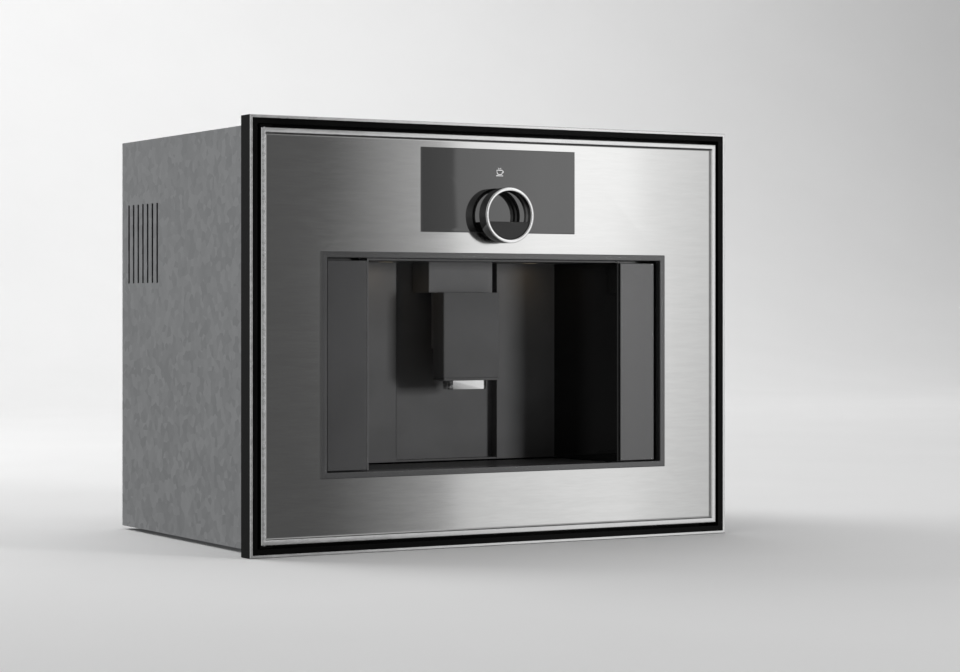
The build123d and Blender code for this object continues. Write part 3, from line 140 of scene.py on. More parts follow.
class DisplaySettings(PropertyGroup):
    """Display glass and its sign."""

    glass_edge: FloatProperty(
        name="Glass edge", description="Ground edge of the glass", default=0.3 * MM, **LENGTH)
    sign_x: FloatProperty(
        name="Sign across", description="Middle of the sign from the machine's middle", default=0.0, **LENGTH)
    sign_above: FloatProperty(
        name="Sign above", description="Glass underside to the middle of the sign",
        default=65.5 * MM, **LENGTH)
    sign_size: FloatProperty(
        name="Sign size", description="Width of the sign", default=8.5 * MM, **LENGTH)
    sign_line: FloatProperty(
        name="Sign line", description="Width of the sign's lines", default=0.75 * MM, **LENGTH)
    sign_thick: FloatProperty(
        name="Sign thickness", description="Thickness of the printed sign", default=0.05 * MM, **LENGTH)


class RingSettings(PropertyGroup):
    """Control ring."""

    segments: IntProperty(
        name="Segments", description="Facets round the ring", default=160, min=48)
    bevel: FloatProperty(
        name="Front edge", description="Rounding of the ring's front edge", default=0.5 * MM, **LENGTH)
    wall: FloatProperty(
        name="Wall", description="Wall of the ring", default=3.7 * MM, **LENGTH)
    groove_from_front: FloatProperty(
        name="Groove place", description="Ring's front to its inner groove", default=6.5 * MM, **LENGTH)
    groove_width: FloatProperty(
        name="Groove width", description="Width of the groove that runs on the core",
        default=4.0 * MM, **LENGTH)
    groove_deep: FloatProperty(
        name="Groove depth", description="Depth of the groove that runs on the core",
        default=1.2 * MM, **LENGTH)
    core_edge: FloatProperty(
        name="Core edge", description="Rounding of the half-moon core", default=0.25 * MM, **LENGTH)


class GridSettings(PropertyGroup):
    """Drip grid."""

    slot_pitch: FloatProperty(
        name="Slot pitch", description="Distance between two slots", default=8.0 * MM, **LENGTH)
    slot_width: FloatProperty(
        name="Slot width", description="Open width of a slot", default=3.2 * MM, **LENGTH)
    slat_height: FloatProperty(
        name="Slat height", description="Thickness of a slat", default=2.5 * MM, **LENGTH)
    slat_seat: FloatProperty(
        name="Slat seat", description="Length of a slat held in the border at each end",
        default=1.0 * MM, **LENGTH)
    front_border: FloatProperty(
        name="Front border", description="Plain front of the grid", default=24.0 * MM, **LENGTH)
    back_border: FloatProperty(
        name="Back border", description="Plain back of the grid", default=6.0 * MM, **LENGTH)
    least_border: FloatProperty(
        name="Side borders", description="Least width of both side borders together",
        default=20.0 * MM, **LENGTH)
    rounding: FloatProperty(
        name="Rounding", description="Rounding of the grid's and the tray's edges",
        default=0.5 * MM, **LENGTH)


class CasingSettings(PropertyGroup):
    """Edges of the casing and of what stands in it."""

    sheet_edge: FloatProperty(
        name="Sheet edge", description="Rounding of a cut sheet's edges", default=0.25 * MM, **LENGTH)
    moulded_edge: FloatProperty(
        name="Moulded edge", description="Rounding of moulded and cast edges", default=0.5 * MM, **LENGTH)
    foot_edge: FloatProperty(
        name="Foot edge", description="Rounding of a foot's lower rim", default=1.2 * MM, **LENGTH)
    bumper_edge: FloatProperty(
        name="Bumper edge", description="Rounding of a door bumper", default=0.5 * MM, **LENGTH)
    screw_edge: FloatProperty(
        name="Screw edge", description="Rounding of a screw head", default=0.2 * MM, **LENGTH)
    washer_share: FloatProperty(
        name="Washer share", description="Washer face's radius by the hexagon's", default=1.25)


class StudioSettings(PropertyGroup):
    """Floor, lamps and camera."""

    floor_colour: FloatVectorProperty(
        name="Floor", description="Colour of the floor and the backdrop", subtype="COLOR",
        default=(0.84, 0.84, 0.84))
    key_power: FloatProperty(
        name="Key lamp", description="Power of the soft lamp on the right", unit="POWER", default=155.0)
    top_power: FloatProperty(
        name="Top lamp", description="Power of the soft lamp overhead", unit="POWER", default=50.0)
    ambient: FloatProperty(
        name="Ambient", description="Even light from all around", default=0.08)
    dome: FloatProperty(
        name="Dome", description="What polished metal mirrors above the horizon", default=0.5)
    ground: FloatProperty(
        name="Ground", description="What polished metal mirrors below the horizon", default=0.12)
    floor_gap: FloatProperty(
        name="Floor gap", description="Feet to the floor", default=0.2 * MM, **LENGTH)
    lens: FloatProperty(
        name="Lens", description="Focal length on a 36 mm wide sensor", default=93.75)
    shift: FloatProperty(
        name="Shift", description="Upright shift of the picture, by its width", default=-0.0297)
    camera_place: FloatVectorProperty(
        name="Camera", description="Place of the camera", subtype="TRANSLATION", unit="LENGTH",
        default=(-1.3693, -2.5194, 0.2572))
    camera_turn: FloatProperty(
        name="Camera turn", description="Turn of the camera to the right", subtype="ANGLE",
        default=math.radians(29.96))


# ---------------------------------------------------------------- nodes
def feed(tree, node, inputs):
    """Link a node's inputs, by name or number, to sockets, or set them to values."""
    for key, value in inputs.items():
        if isinstance(value, NodeSocket):
            tree.links.new(value, node.inputs[key])
        else:
            node.inputs[key].default_value = value


def add_node(tree, kind, inputs=None, **settings):
    """A new node with its settings and its inputs."""
    node = tree.nodes.new(kind)
    for key, value in settings.items():
        setattr(node, key, value)
    feed(tree, node, inputs or {})
    return node


def arithmetic(tree, operation, *values):
    """One sum on values and sockets."""
    return add_node(tree, "ShaderNodeMath", dict(enumerate(values)), operation=operation).outputs["Value"]


def spread(tree, value, low, high, start=0.35, end=0.65, **settings):
    """Map a pattern onto a range."""
    node = add_node(tree, "ShaderNodeMapRange", {
        "Value": value, "From Min": start, "From Max": end, "To Min": low, "To Max": high}, **settings)
    return node.outputs["Result"]


def mixed(tree, kind, first, second, share):
    """Two values ("Float") or two colours ("Color") mixed by a share."""
    node = add_node(tree, "ShaderNodeMix", data_type={"Float": "FLOAT", "Color": "RGBA"}[kind])
    place = {socket.identifier: number for number, socket in enumerate(node.inputs)}
    feed(tree, node, {place["Factor_Float"]: share, place["A_" + kind]: first, place["B_" + kind]: second})
    return next(socket for socket in node.outputs if socket.identifier == "Result_" + kind)


# ---------------------------------------------------------------- finishes
def new_finish(name, roughness, metallic=0.0, specular=0.5):
    """A material whose constant values stand on its own shader; a pattern may take over the roughness."""
    material = bpy.data.materials.new(name)
    material.use_nodes = True
    tree = material.node_tree
    shader = tree.nodes["Principled BSDF"]
    feed(tree, shader, {"Roughness": roughness, "Metallic": metallic, "Specular IOR Level": specular})
    return material, tree, shader


def own_place(tree):
    """The piece's own coordinates."""
    return add_node(tree, "ShaderNodeTexCoord").outputs["Object"]


def pattern(tree, waves, detail=4.0):
    """Noise with so many waves per metre along X, Y and Z, or one number for all three."""
    scale = waves if isinstance(waves, tuple) else (waves, waves, waves)
    mapping = add_node(tree, "ShaderNodeMapping", {"Vector": own_place(tree), "Scale": scale})
    noise = add_node(tree, "ShaderNodeTexNoise", {
        "Vector": mapping.outputs["Vector"], "Scale": 1.0, "Detail": detail})
    return noise.outputs["Fac"]


def two_tone(tree, value, dark, light, start=0.35, end=0.65):
    """Map a pattern onto two colours."""
    ramp = add_node(tree, "ShaderNodeValToRGB", {"Fac": value})
    for element, place, colour in zip(ramp.color_ramp.elements, (start, end), (dark, light)):
        element.position = place
        element.color = (*colour, 1.0)
    return ramp.outputs["Color"]


def add_bump(tree, shader, height, strength, depth):
    """Small relief from a pattern."""
    bump = add_node(tree, "ShaderNodeBump", {"Strength": strength, "Distance": depth, "Height": height})
    feed(tree, shader, {"Normal": bump.outputs["Normal"]})


def shade(colour, factor):
    """A colour made lighter or darker."""
    return tuple(min(1.0, channel * factor) for channel in colour)


BRUSHING = "brushing"       # the map that says which way a sheet is brushed


def brushed_steel(name, light, dark):
    """Sheet brushed along X: long fine streaks in colour, roughness and relief."""
    material, tree, shader = new_finish(name, roughness=0.3, metallic=1.0)
    across = add_node(tree, "ShaderNodeTangent", direction_type="UV_MAP", uv_map=BRUSHING)
    fine = pattern(tree, (60.0, 900.0, 900.0))
    streaks = mixed(tree, "Float", fine, pattern(tree, (21.0, 144.0, 144.0), detail=2.0), 0.45)
    feed(tree, shader, {
        "Anisotropic": 0.95, "Tangent": across.outputs["Tangent"],
        "Base Color": two_tone(tree, streaks, dark, light, 0.38, 0.62),
        "Roughness": spread(tree, streaks, 0.085, 0.1)})
    add_bump(tree, shader, fine, strength=0.05, depth=0.02 * MM)
    return material


def polished_steel(name, colour, roughness=(0.07, 0.15)):
    """Bright polished steel with faint wiping marks."""
    material, tree, shader = new_finish(name, roughness=0.1, metallic=1.0)
    marks = pattern(tree, (60.0, 240.0, 240.0))
    feed(tree, shader, {
        "Base Color": two_tone(tree, marks, shade(colour, 0.94), shade(colour, 1.03)),
        "Roughness": spread(tree, marks, *roughness)})
    return material


def satin_coat(name, colour, roughness=(0.36, 0.48), grain=1800.0, relief=0.15, ior=1.5, specular=0.5):
    """Satin lacquer or fine moulded grain with slight cloudiness."""
    material, tree, shader = new_finish(name, roughness=0.42, specular=specular)
    cloud = pattern(tree, 18.0)
    fine = pattern(tree, grain, detail=2.0)
    feed(tree, shader, {
        "IOR": ior, "Base Color": two_tone(tree, cloud, shade(colour, 0.93), shade(colour, 1.07)),
        "Roughness": spread(tree, mixed(tree, "Float", cloud, fine, 0.5), *roughness)})
    add_bump(tree, shader, fine, strength=relief, depth=0.03 * MM)
    return material


def gloss_coat(name, colour, roughness=(0.03, 0.09), specular=0.5, ior=1.5):
    """Piano gloss: nearly even, with very faint smears in the roughness."""
    material, tree, shader = new_finish(name, roughness=0.05, specular=specular)
    smear = pattern(tree, (22.0, 22.0, 9.0), detail=5.0)
    feed(tree, shader, {
        "IOR": ior, "Base Color": two_tone(tree, smear, shade(colour, 0.9), shade(colour, 1.1)),
        "Roughness": spread(tree, smear, *roughness)})
    return material


def zinc_sheet(name):
    """Zinc coated sheet with its spangle."""
    material, tree, shader = new_finish(name, roughness=0.42, metallic=1.0)
    cells = add_node(tree, "ShaderNodeTexVoronoi", {"Vector": own_place(tree), "Scale": 110.0})
    spangle = add_node(tree, "ShaderNodeSeparateColor", {"Color": cells.outputs["Color"]})
    value = mixed(tree, "Float", spangle.outputs["Red"], pattern(tree, 30.0, detail=5.0), 0.55)
    feed(tree, shader, {
        "Base Color": two_tone(tree, value, (0.42, 0.43, 0.44), (0.58, 0.59, 0.60), 0.3, 0.7),
        "Roughness": spread(tree, value, 0.34, 0.52, 0.3, 0.7)})
    return material


def cast_metal(name, colour=(0.50, 0.50, 0.50)):
    """Die-cast metal with a pebbled skin."""
    material, tree, shader = new_finish(name, roughness=0.5, metallic=1.0)
    skin = pattern(tree, 420.0, detail=5.0)
    feed(tree, shader, {
        "Base Color": two_tone(tree, skin, shade(colour, 0.8), shade(colour, 1.1)),
        "Roughness": spread(tree, skin, 0.42, 0.6)})
    add_bump(tree, shader, skin, strength=0.3, depth=0.12 * MM)
    return material


def soft_rubber(name):
    """Matt black rubber with dust in its pores."""
    material, tree, shader = new_finish(name, roughness=0.8, specular=0.25)
    pores = pattern(tree, 900.0, detail=5.0)
    feed(tree, shader, {
        "Base Color": two_tone(tree, pores, (0.012, 0.012, 0.012), (0.035, 0.035, 0.034)),
        "Roughness": spread(tree, pores, 0.7, 0.9)})
    add_bump(tree, shader, pores, strength=0.4, depth=0.1 * MM)
    return material


def clear_plastic(name):
    """Smoke-clear tank plastic."""
    material, tree, shader = new_finish(name, roughness=0.08)
    haze = pattern(tree, (40.0, 40.0, 12.0))
    feed(tree, shader, {
        "Transmission Weight": 0.9, "IOR": 1.3,
        "Base Color": two_tone(tree, haze, (0.62, 0.66, 0.68), (0.72, 0.76, 0.78)),
        "Roughness": spread(tree, haze, 0.04, 0.14)})
    return material


def lamp_lens(name):
    """Frosted lens with a warm glow."""
    material, tree, shader = new_finish(name, roughness=0.4)
    frost = pattern(tree, 300.0, detail=3.0)
    feed(tree, shader, {
        "Base Color": two_tone(tree, frost, (0.16, 0.14, 0.11), (0.22, 0.19, 0.15)),
        "Emission Color": (1.0, 0.78, 0.5, 1.0), "Emission Strength": 0.04})
    add_bump(tree, shader, frost, strength=0.3, depth=0.08 * MM)
    return material


def circuit_board(name):
    """Solder mask with faint copper tracks below."""
    material, tree, shader = new_finish(name, roughness=0.35)
    mapping = add_node(tree, "ShaderNodeMapping", {
        "Vector": own_place(tree), "Rotation": (math.radians(90), 0.0, 0.0)})
    tracks = add_node(tree, "ShaderNodeTexBrick", {
        "Vector": mapping.outputs["Vector"], "Scale": 60.0, "Mortar Size": 0.012,
        "Color1": (0.01, 0.085, 0.035, 1.0), "Color2": (0.012, 0.11, 0.045, 1.0),
        "Mortar": (0.03, 0.19, 0.08, 1.0)})
    feed(tree, shader, {"Base Color": tracks.outputs["Color"]})
    add_bump(tree, shader, tracks.outputs["Fac"], strength=0.3, depth=0.05 * MM)
    return material


FINISHES = {}


def make_finishes(steel, niche):
    """All finishes of the machine, by the name that the pieces ask for."""
    smooth = {"relief": 0.03, "ior": 1.9}
    moulded = {"grain": 1300.0, "relief": 0.3}
    FINISHES.update({
        "brushed": brushed_steel("brushed_steel", steel.sheet_light, steel.sheet_dark),
        "polished": polished_steel("polished_steel", steel.polished),
        "rim": polished_steel("rim_steel", shade(steel.polished, 1.1), roughness=(0.18, 0.23)),
        "ring": polished_steel("ring_steel", steel.polished),
        # the ring's sides: the same polished steel darkened to 0.4, a painted dark reflection
        "ring_side": polished_steel("ring_side_steel_painted_reflection", shade(steel.polished, 0.4)),
        "gloss": gloss_coat("gloss_black", niche.gloss, specular=0.35),
        "band": gloss_coat("band_black", shade(niche.gloss, 0.4), roughness=(0.12, 0.2), specular=0.06),
        "glass": gloss_coat("display_glass", (0.004, 0.004, 0.004), roughness=(0.008, 0.016), ior=1.9),
        "float": gloss_coat("orange_float", (0.72, 0.18, 0.02), roughness=(0.15, 0.3)),
        "satin": satin_coat("satin_anthracite", niche.satin, specular=0.15),
        "head": satin_coat("head_anthracite", shade(niche.satin, 0.85), specular=0.15),
        # the column's 1.28 times lighter copy of the satin is painted light, for the light that falls on it
        # from above; the head's copy is a shade darker
        "column": satin_coat("column_anthracite_painted_light", shade(niche.satin, 1.28), specular=0.15),
        "strip": satin_coat("strip_anthracite", niche.strip, roughness=(0.12, 0.15), **smooth),
        "trim": satin_coat("trim_grey", shade(niche.strip, 0.95), roughness=(0.14, 0.18), **smooth),
        "core": satin_coat("core_grey", (0.016, 0.016, 0.016), roughness=(0.26, 0.34), relief=0.03),
        "grid": satin_coat("grid_grey", (0.045, 0.045, 0.046), roughness=(0.30, 0.42), relief=0.08),
        "sign": satin_coat("sign_white", (0.86, 0.86, 0.86)),
        "black": satin_coat("black_plastic", (0.022, 0.022, 0.023), roughness=(0.45, 0.62), **moulded),
        "grey": satin_coat("grey_plastic", (0.26, 0.26, 0.27), roughness=(0.40, 0.55), **moulded),
        "clear": clear_plastic("clear_plastic"),
        "rubber": soft_rubber("black_rubber"),
        "zinc": zinc_sheet("zinc_sheet"),
        "brass": cast_metal("turned_brass", (0.62, 0.45, 0.2)),
        "cast": cast_metal("cast_metal"),
        "board": circuit_board("circuit_board"),
        "lens": lamp_lens("lamp_lens"),
    })


FINISH_OF_SLOT = {
    "polished_steel": "polished", "brushed_steel": "brushed", "gloss_black": "gloss", "anthracite": "satin",
    "trim_grey": "trim", "display_glass": "glass", "zinc_sheet": "zinc", "black_plastic": "black",
    "grey_plastic": "grey", "clear_tank": "clear", "rubber": "rubber", "brass": "brass",
    "cast_metal": "cast", "circuit_board": "board", "lamp_lens": "lens", "float_orange": "float",
}


# ---------------------------------------------------------------- building helpers
def link(obj):
    """Put an object into the scene."""
    bpy.context.scene.collection.objects.link(obj)
    return obj


def opened(mesh):
    """A bmesh of a mesh."""
    bm = bmesh.new()
    bm.from_mesh(mesh)
    return bm


def merged_node(node):
    """A bmesh of a CAD node's shape, whose loose triangles are joined."""
    bm = opened(frame["nodes"][node].data)
    bmesh.ops.remove_doubles(bm, verts=bm.verts, dist=MERGE)
    return bm


def write_back(bm, mesh):
    """Write a bmesh into a mesh and let go of the bmesh."""
    bm.to_mesh(mesh)
    bm.free()


def new_object(bm, name):
    """An object at the origin from a bmesh."""
    mesh = bpy.data.meshes.new(name)
    write_back(bm, mesh)
    return link(bpy.data.objects.new(name, mesh))


def from_bmesh(bm, name):
    """An object at the origin from a bmesh, with its normals outwards."""
    bmesh.ops.remove_doubles(bm, verts=bm.verts, dist=MERGE)
    bmesh.ops.recalc_face_normals(bm, faces=bm.faces)
    return new_object(bm, name)


def mounted(obj, body, finish=None):
    """Give a finished piece its material and its body."""
    if finish is not None:
        obj.data.materials.clear()
        obj.data.materials.append(FINISHES[finish])
    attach(obj, body)


def stand_for(obj, node, finish=None):
    """Mount a piece in place of a CAD node, with the finish of the node's slot unless another is given."""
    mounted(obj, BODY_OF[node], finish or FINISH_OF_SLOT[SLOT_OF[node]])
    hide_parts(node)


def smooth_by_angle(mesh, degrees=35.0):
    """Smooth shading, with edges sharper than the angle kept sharp."""
    mesh.shade_smooth()
    mesh.set_sharp_from_angle(angle=math.radians(degrees))


def add_bevel(obj, width, segments, degrees):
    """Rounded edges where faces meet at more than an angle."""
    bevel = obj.modifiers.new("rounding", "BEVEL")
    bevel.width = width
    bevel.segments = segments
    bevel.limit_method = "ANGLE"
    bevel.angle_limit = math.radians(degrees)
    return bevel


def add_rounding(obj, width, segments=3):
    """Rounded edges whose flat faces stay flat in shading."""
    smooth_by_angle(obj.data)
    add_bevel(obj, width, segments, degrees=30.0).miter_outer = "MITER_ARC"
    flats = obj.modifiers.new("flat_faces", "WEIGHTED_NORMAL")
    flats.mode = "FACE_AREA"
    flats.weight = 100
    flats.keep_sharp = False


def rounded_copy(node, name, width, finish=None, segments=3):
    """The CAD node's own shape with rounded edges, standing for the node."""
    obj = new_object(merged_node(node), name)
    add_rounding(obj, width, segments)
    stand_for(obj, node, finish)
    return obj


def smooth_copy(node, finish=None, degrees=35.0):
    """The CAD node's own shape with its round faces shaded smooth, standing for the node."""
    obj = new_object(merged_node(node), node + "_finished")
    smooth_by_angle(obj.data, degrees)
    stand_for(obj, node, finish)


def lathe(name, profile, centre, axis, segments):
    """A shape turned about Y or Z: profile points are (along the axis, radius), closed onto itself."""
    bm = bmesh.new()
    along = AXES[axis]
    side = AXES[X] if axis == Z else AXES[Z]
    other = along.cross(side)
    rings = []
    for step in range(segments):
        angle = 2 * math.pi * step / segments
        outward = side * math.cos(angle) + other * math.sin(angle)
        rings.append([bm.verts.new(Vector(centre) + along * a + outward * r) for a, r in profile])
    for step in range(segments):
        here, there = rings[step], rings[(step + 1) % segments]
        for point in range(len(profile)):
            after = (point + 1) % len(profile)
            bm.faces.new((here[point], there[point], there[after], here[after]))
    obj = from_bmesh(bm, name)
    smooth_by_angle(obj.data)
    return obj


def angles(first, last, step):
    """Angles from the first to the last, given in degrees."""
    return [math.radians(angle) for angle in range(first, last + 1, step)]


def arc_points(centre_a, centre_r, radius, start, end, steps=6):
    """Points of a profile's corner, from one angle to another, in degrees."""
    points = []
    for step in range(steps + 1):
        angle = math.radians(start + (end - start) * step / steps)
        points.append((centre_a + radius * math.cos(angle), centre_r + radius * math.sin(angle)))
    return points


def island_places(node):
    """Middles of a node's separate solids, and the greatest radius of one about its middle."""
    bm = merged_node(node)
    waiting, places, radius = set(bm.verts), [], 0.0
    while waiting:
        island, found = set(), [next(iter(waiting))]
        while found:
            vertex = found.pop()
            if vertex not in island:
                island.add(vertex)
                found += [edge.other_vert(vertex) for edge in vertex.link_edges]
        waiting -= island
        lows = [min(vertex.co[axis] for vertex in island) for axis in (X, Y, Z)]
        highs = [max(vertex.co[axis] for vertex in island) for axis in (X, Y, Z)]
        places.append(tuple((a + b) / 2 for a, b in zip(lows, highs)))
        radius = max(radius, max(b - a for a, b in zip(lows, highs)) / 2)
    bm.free()
    return sorted(places), radius


def turned_group(node, axis, edge, both_rims, segments=48):
    """Turned discs with rounded rims in place of a node's plain ones."""
    places, radius = island_places(node)
    low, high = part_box(node)
    length = high[axis] - low[axis]
    profile = [(0.0, ON_AXIS), (0.0, radius - edge)] + arc_points(edge, radius - edge, edge, 180, 90)[1:]
    profile += arc_points(length - edge, radius - edge, edge, 90, 0) if both_rims else [(length, radius)]
    profile += [(length, ON_AXIS)]
    bm = bmesh.new()
    for place in places:
        centre = Vector(place)
        centre[axis] = low[axis]
        one = lathe(node + "_one", profile, centre, axis, segments)
        bm.from_mesh(one.data)
        bpy.data.objects.remove(one)
    obj = from_bmesh(bm, node + "_turned")
    smooth_by_angle(obj.data)
    stand_for(obj, node)


def block(bm, low, high):
    """A box between two corners, added to a bmesh."""
    size = Vector(high) - Vector(low)
    place = Matrix.Translation((Vector(low) + Vector(high)) / 2) @ Matrix.Diagonal((*size, 1.0))
    bmesh.ops.create_cube(bm, size=1.0, matrix=place)


def rise(edge):
    """How much higher one end of an edge is than the other."""
    return abs(edge.verts[0].co.z - edge.verts[1].co.z)


def bevel_edges(bm, edges, radius, segments):
    """Round some edges of a bmesh."""
    bmesh.ops.bevel(bm, geom=edges, offset=radius, segments=segments, profile=0.5, affect="EDGES")


def rounded_block(bm, low, high, upright, level, upright_steps=4, level_steps=3):
    """A box whose upright and level edges are rounded by their own radii, added to a bmesh."""
    shape = bpy.data.meshes.new("block")
    made = bmesh.new()
    block(made, low, high)
    bevel_edges(made, [edge for edge in made.edges if rise(edge) > MERGE], upright, upright_steps)
    write_back(made, shape)
    if level > 0.0:
        # opened again, because a second bevel of one bmesh orders its faces differently in each run
        made = opened(shape)
        rims = []
        for edge in made.edges:
            slopes = [abs(face.normal.z) for face in edge.link_faces]
            if rise(edge) < MERGE and max(slopes) > 0.9 and min(slopes) < 0.1:
                rims.append(edge)
        bevel_edges(made, rims, level, level_steps)
        write_back(made, shape)
    bm.from_mesh(shape)
    bpy.data.meshes.remove(shape)


def ribbon(bm, points, width, low, high, closed=False):
    """A flat line of constant width through (x, z) points, between two depths along Y."""
    count = len(points)
    rows = []
    for index, point in enumerate(points):
        here = Vector(point)
        before = Vector(points[index - 1]) if index or closed else here
        after = Vector(points[(index + 1) % count]) if index < count - 1 or closed else here
        along = (after - before).normalized()
        aside = Vector((-along.y, along.x)) * width / 2
        rows.append([bm.verts.new((spot.x, y, spot.y)) for spot in (here - aside, here + aside)
                     for y in (low, high)])
    for index in range(count if closed else count - 1):
        a, b = rows[index], rows[(index + 1) % count]
        for first, second in ((0, 1), (1, 3), (3, 2), (2, 0)):
            bm.faces.new((a[first], a[second], b[second], b[first]))
    if not closed:
        for row in (rows[0], rows[-1]):
            bm.faces.new((row[0], row[1], row[3], row[2]))


def cut(bm, place, normal):
    """New edges where a plane crosses a bmesh."""
    bmesh.ops.bisect_plane(bm, geom=bm.verts[:] + bm.edges[:] + bm.faces[:], dist=CUT,
                           plane_co=place, plane_no=normal)


# ---------------------------------------------------------------- repeats by Geometry Nodes
def new_tree(name, sizes):
    """An empty node tree with named inputs and a material: its input sockets and its output node."""
    tree = bpy.data.node_groups.new(name, "GeometryNodeTree")
    kinds = {float: "NodeSocketFloat", int: "NodeSocketInt", tuple: "NodeSocketVector"}
    tree.interface.new_socket("Geometry", in_out="INPUT", socket_type="NodeSocketGeometry")
    for label, default in sizes.items():
        socket = tree.interface.new_socket(label, in_out="INPUT", socket_type=kinds[type(default)])
        socket.default_value = default
    tree.interface.new_socket("Material", in_out="INPUT", socket_type="NodeSocketMaterial")
    tree.interface.new_socket("Geometry", in_out="OUTPUT", socket_type="NodeSocketGeometry")
    return tree, add_node(tree, "NodeGroupInput").outputs, add_node(tree, "NodeGroupOutput")


def close_tree(tree, given, sink, inputs):
    """Instance a mesh on points, make it real and give it the tree's material."""
    on_points = add_node(tree, "GeometryNodeInstanceOnPoints", inputs)
    realize = add_node(tree, "GeometryNodeRealizeInstances", {"Geometry": on_points.outputs["Instances"]})
    material = add_node(tree, "GeometryNodeSetMaterial", {
        "Geometry": realize.outputs["Geometry"], "Material": given["Material"]})
    feed(tree, sink, {"Geometry": material.outputs["Geometry"]})


def vector_along(tree, axis, value):
    """A vector along X or Y with a value for its length."""
    return add_node(tree, "ShaderNodeCombineXYZ", {axis: value}).outputs["Vector"]


def row_points(tree, given):
    """Points along X about the origin, from the tree's Pitch and Count."""
    steps = arithmetic(tree, "SUBTRACT", given["Count"], 1.0)
    width = arithmetic(tree, "MULTIPLY", steps, given["Pitch"])
    start = vector_along(tree, "X", arithmetic(tree, "MULTIPLY", width, -0.5))
    line = add_node(tree, "GeometryNodeMeshLine", {
        "Count": given["Count"], "Start Location": start, "Offset": vector_along(tree, "X", given["Pitch"])})
    return line.outputs["Mesh"]


def bar_tree(name):
    """Bars with rounded edges, lying along Y, set side by side along X."""
    tree, given, sink = new_tree(name, {
        "Width": 4.8 * MM, "Height": 2.5 * MM, "Length": 75.0 * MM, "Rounding": 0.5 * MM,
        "Pitch": 8.0 * MM, "Count": 37})
    section = add_node(tree, "GeometryNodeCurvePrimitiveQuadrilateral", {
        "Width": given["Width"], "Height": given["Height"]})
    rounding = add_node(tree, "GeometryNodeFilletCurve", {
        "Curve": section.outputs["Curve"], "Radius": given["Rounding"], "Count": 3}, mode="POLY")
    start, end = (vector_along(tree, "Y", arithmetic(tree, "MULTIPLY", given["Length"], share))
                  for share in (-0.5, 0.5))
    run = add_node(tree, "GeometryNodeCurvePrimitiveLine", {"Start": start, "End": end})
    sweep = add_node(tree, "GeometryNodeCurveToMesh", {
        "Curve": run.outputs["Curve"], "Profile Curve": rounding.outputs["Curve"], "Fill Caps": True})
    close_tree(tree, given, sink, {"Points": row_points(tree, given), "Instance": sweep.outputs["Mesh"]})
    return tree


def screw_tree(name):
    """Screws on the points of a mesh: hexagon head with a washer face."""
    tree, given, sink = new_tree(name, {
        "Head radius": 4.0 * MM, "Washer radius": 5.0 * MM, "Height": 0.9 * MM,
        "Turn": (math.radians(90), 0.0, 0.0), "Sides": 6})
    head = add_node(tree, "GeometryNodeMeshCylinder", {
        "Vertices": given["Sides"], "Radius": given["Head radius"], "Depth": given["Height"]})
    washer = add_node(tree, "GeometryNodeMeshCylinder", {
        "Vertices": 28, "Radius": given["Washer radius"],
        "Depth": arithmetic(tree, "MULTIPLY", given["Height"], 0.4)})
    joined = add_node(tree, "GeometryNodeJoinGeometry")
    for cylinder in (head, washer):
        feed(tree, joined, {"Geometry": cylinder.outputs["Mesh"]})
    points = add_node(tree, "GeometryNodeMeshToPoints", {"Mesh": given["Geometry"]})
    close_tree(tree, given, sink, {
        "Points": points.outputs["Points"], "Instance": joined.outputs["Geometry"],
        "Rotation": given["Turn"]})
    return tree


def grown(name, tree, values, material, place=(0.0, 0.0, 0.0), points=(), rounding=0.0):
    """Run a tree on its own object and turn what it makes into a plain mesh at its place."""
    mesh = bpy.data.meshes.new(name + "_points")
    mesh.from_pydata(list(points), [], [])
    carrier = link(bpy.data.objects.new(name + "_carrier", mesh))
    nodes = carrier.modifiers.new("pattern", "NODES")
    nodes.node_group = tree
    sockets = {item.name: item.identifier for item in tree.interface.items_tree if item.in_out == "INPUT"}
    for label, value in {**values, "Material": FINISHES[material]}.items():
        nodes[sockets[label]] = value
    if rounding > 0.0:
        add_bevel(carrier, rounding, segments=2, degrees=40.0)
    bpy.context.view_layer.update()
    evaluated = carrier.evaluated_get(bpy.context.evaluated_depsgraph_get())
    made = bpy.data.meshes.new_from_object(evaluated)
    made.name = name
    made.transform(Matrix.Translation(place))
    bpy.data.objects.remove(carrier)
    smooth_by_angle(made)
    return link(bpy.data.objects.new(name, made))


# ---------------------------------------------------------------- operators
class MACHINE_OT_finishes(Operator):
    """Make the finishes and give every CAD node its own"""

    bl_idname = "machine.finishes"
    bl_label = "Finishes"

    def execute(self, context):
        make_finishes(context.scene.machine_steel, context.scene.machine_niche)
        for node, obj in frame["nodes"].items():
            obj.data.materials.clear()
            obj.data.materials.append(FINISHES[FINISH_OF_SLOT[SLOT_OF[node]]])
        return {"FINISHED"}


class MACHINE_OT_steel_front(Operator):
    """Mounting frame, door rim, brushed panel and the trim of the niche"""

    bl_idname = "machine.steel_front"
    bl_label = "Steel front"

    def execute(self, context):
        steel = context.scene.machine_steel
        edge = rounded_copy("frame_edge", "frame_edge_polished", steel.edge_round, finish="rim")
        darken_sides(edge, "band", steel.bright_lip)
        rounded_copy("frame_band", "frame_band_gloss", steel.edge_round, finish="band")
        rim = rounded_copy("door_rim", "door_rim_polished", steel.edge_round, finish="rim")
        crown_front(rim, steel.crown)
        rounded_copy("niche_trim", "niche_trim_satin", steel.edge_round)
        panel = rounded_copy("door_panel", "door_panel_brushed", steel.edge_round / 2, segments=2)
        roll_edges(panel, steel.panel_seam, steel.panel_roll, steel.panel_roll_depth)
        lay_brushing(panel)
        return {"FINISHED"}


def lay_brushing(sheet):
    """A map whose first axis runs upright, across the brushing, so that highlights stretch upright."""
    layer = sheet.data.uv_layers.new(name=BRUSHING)
    for loop in sheet.data.loops:
        place = sheet.data.vertices[loop.vertex_index].co
        layer.data[loop.index].uv = (place.z, place.x)


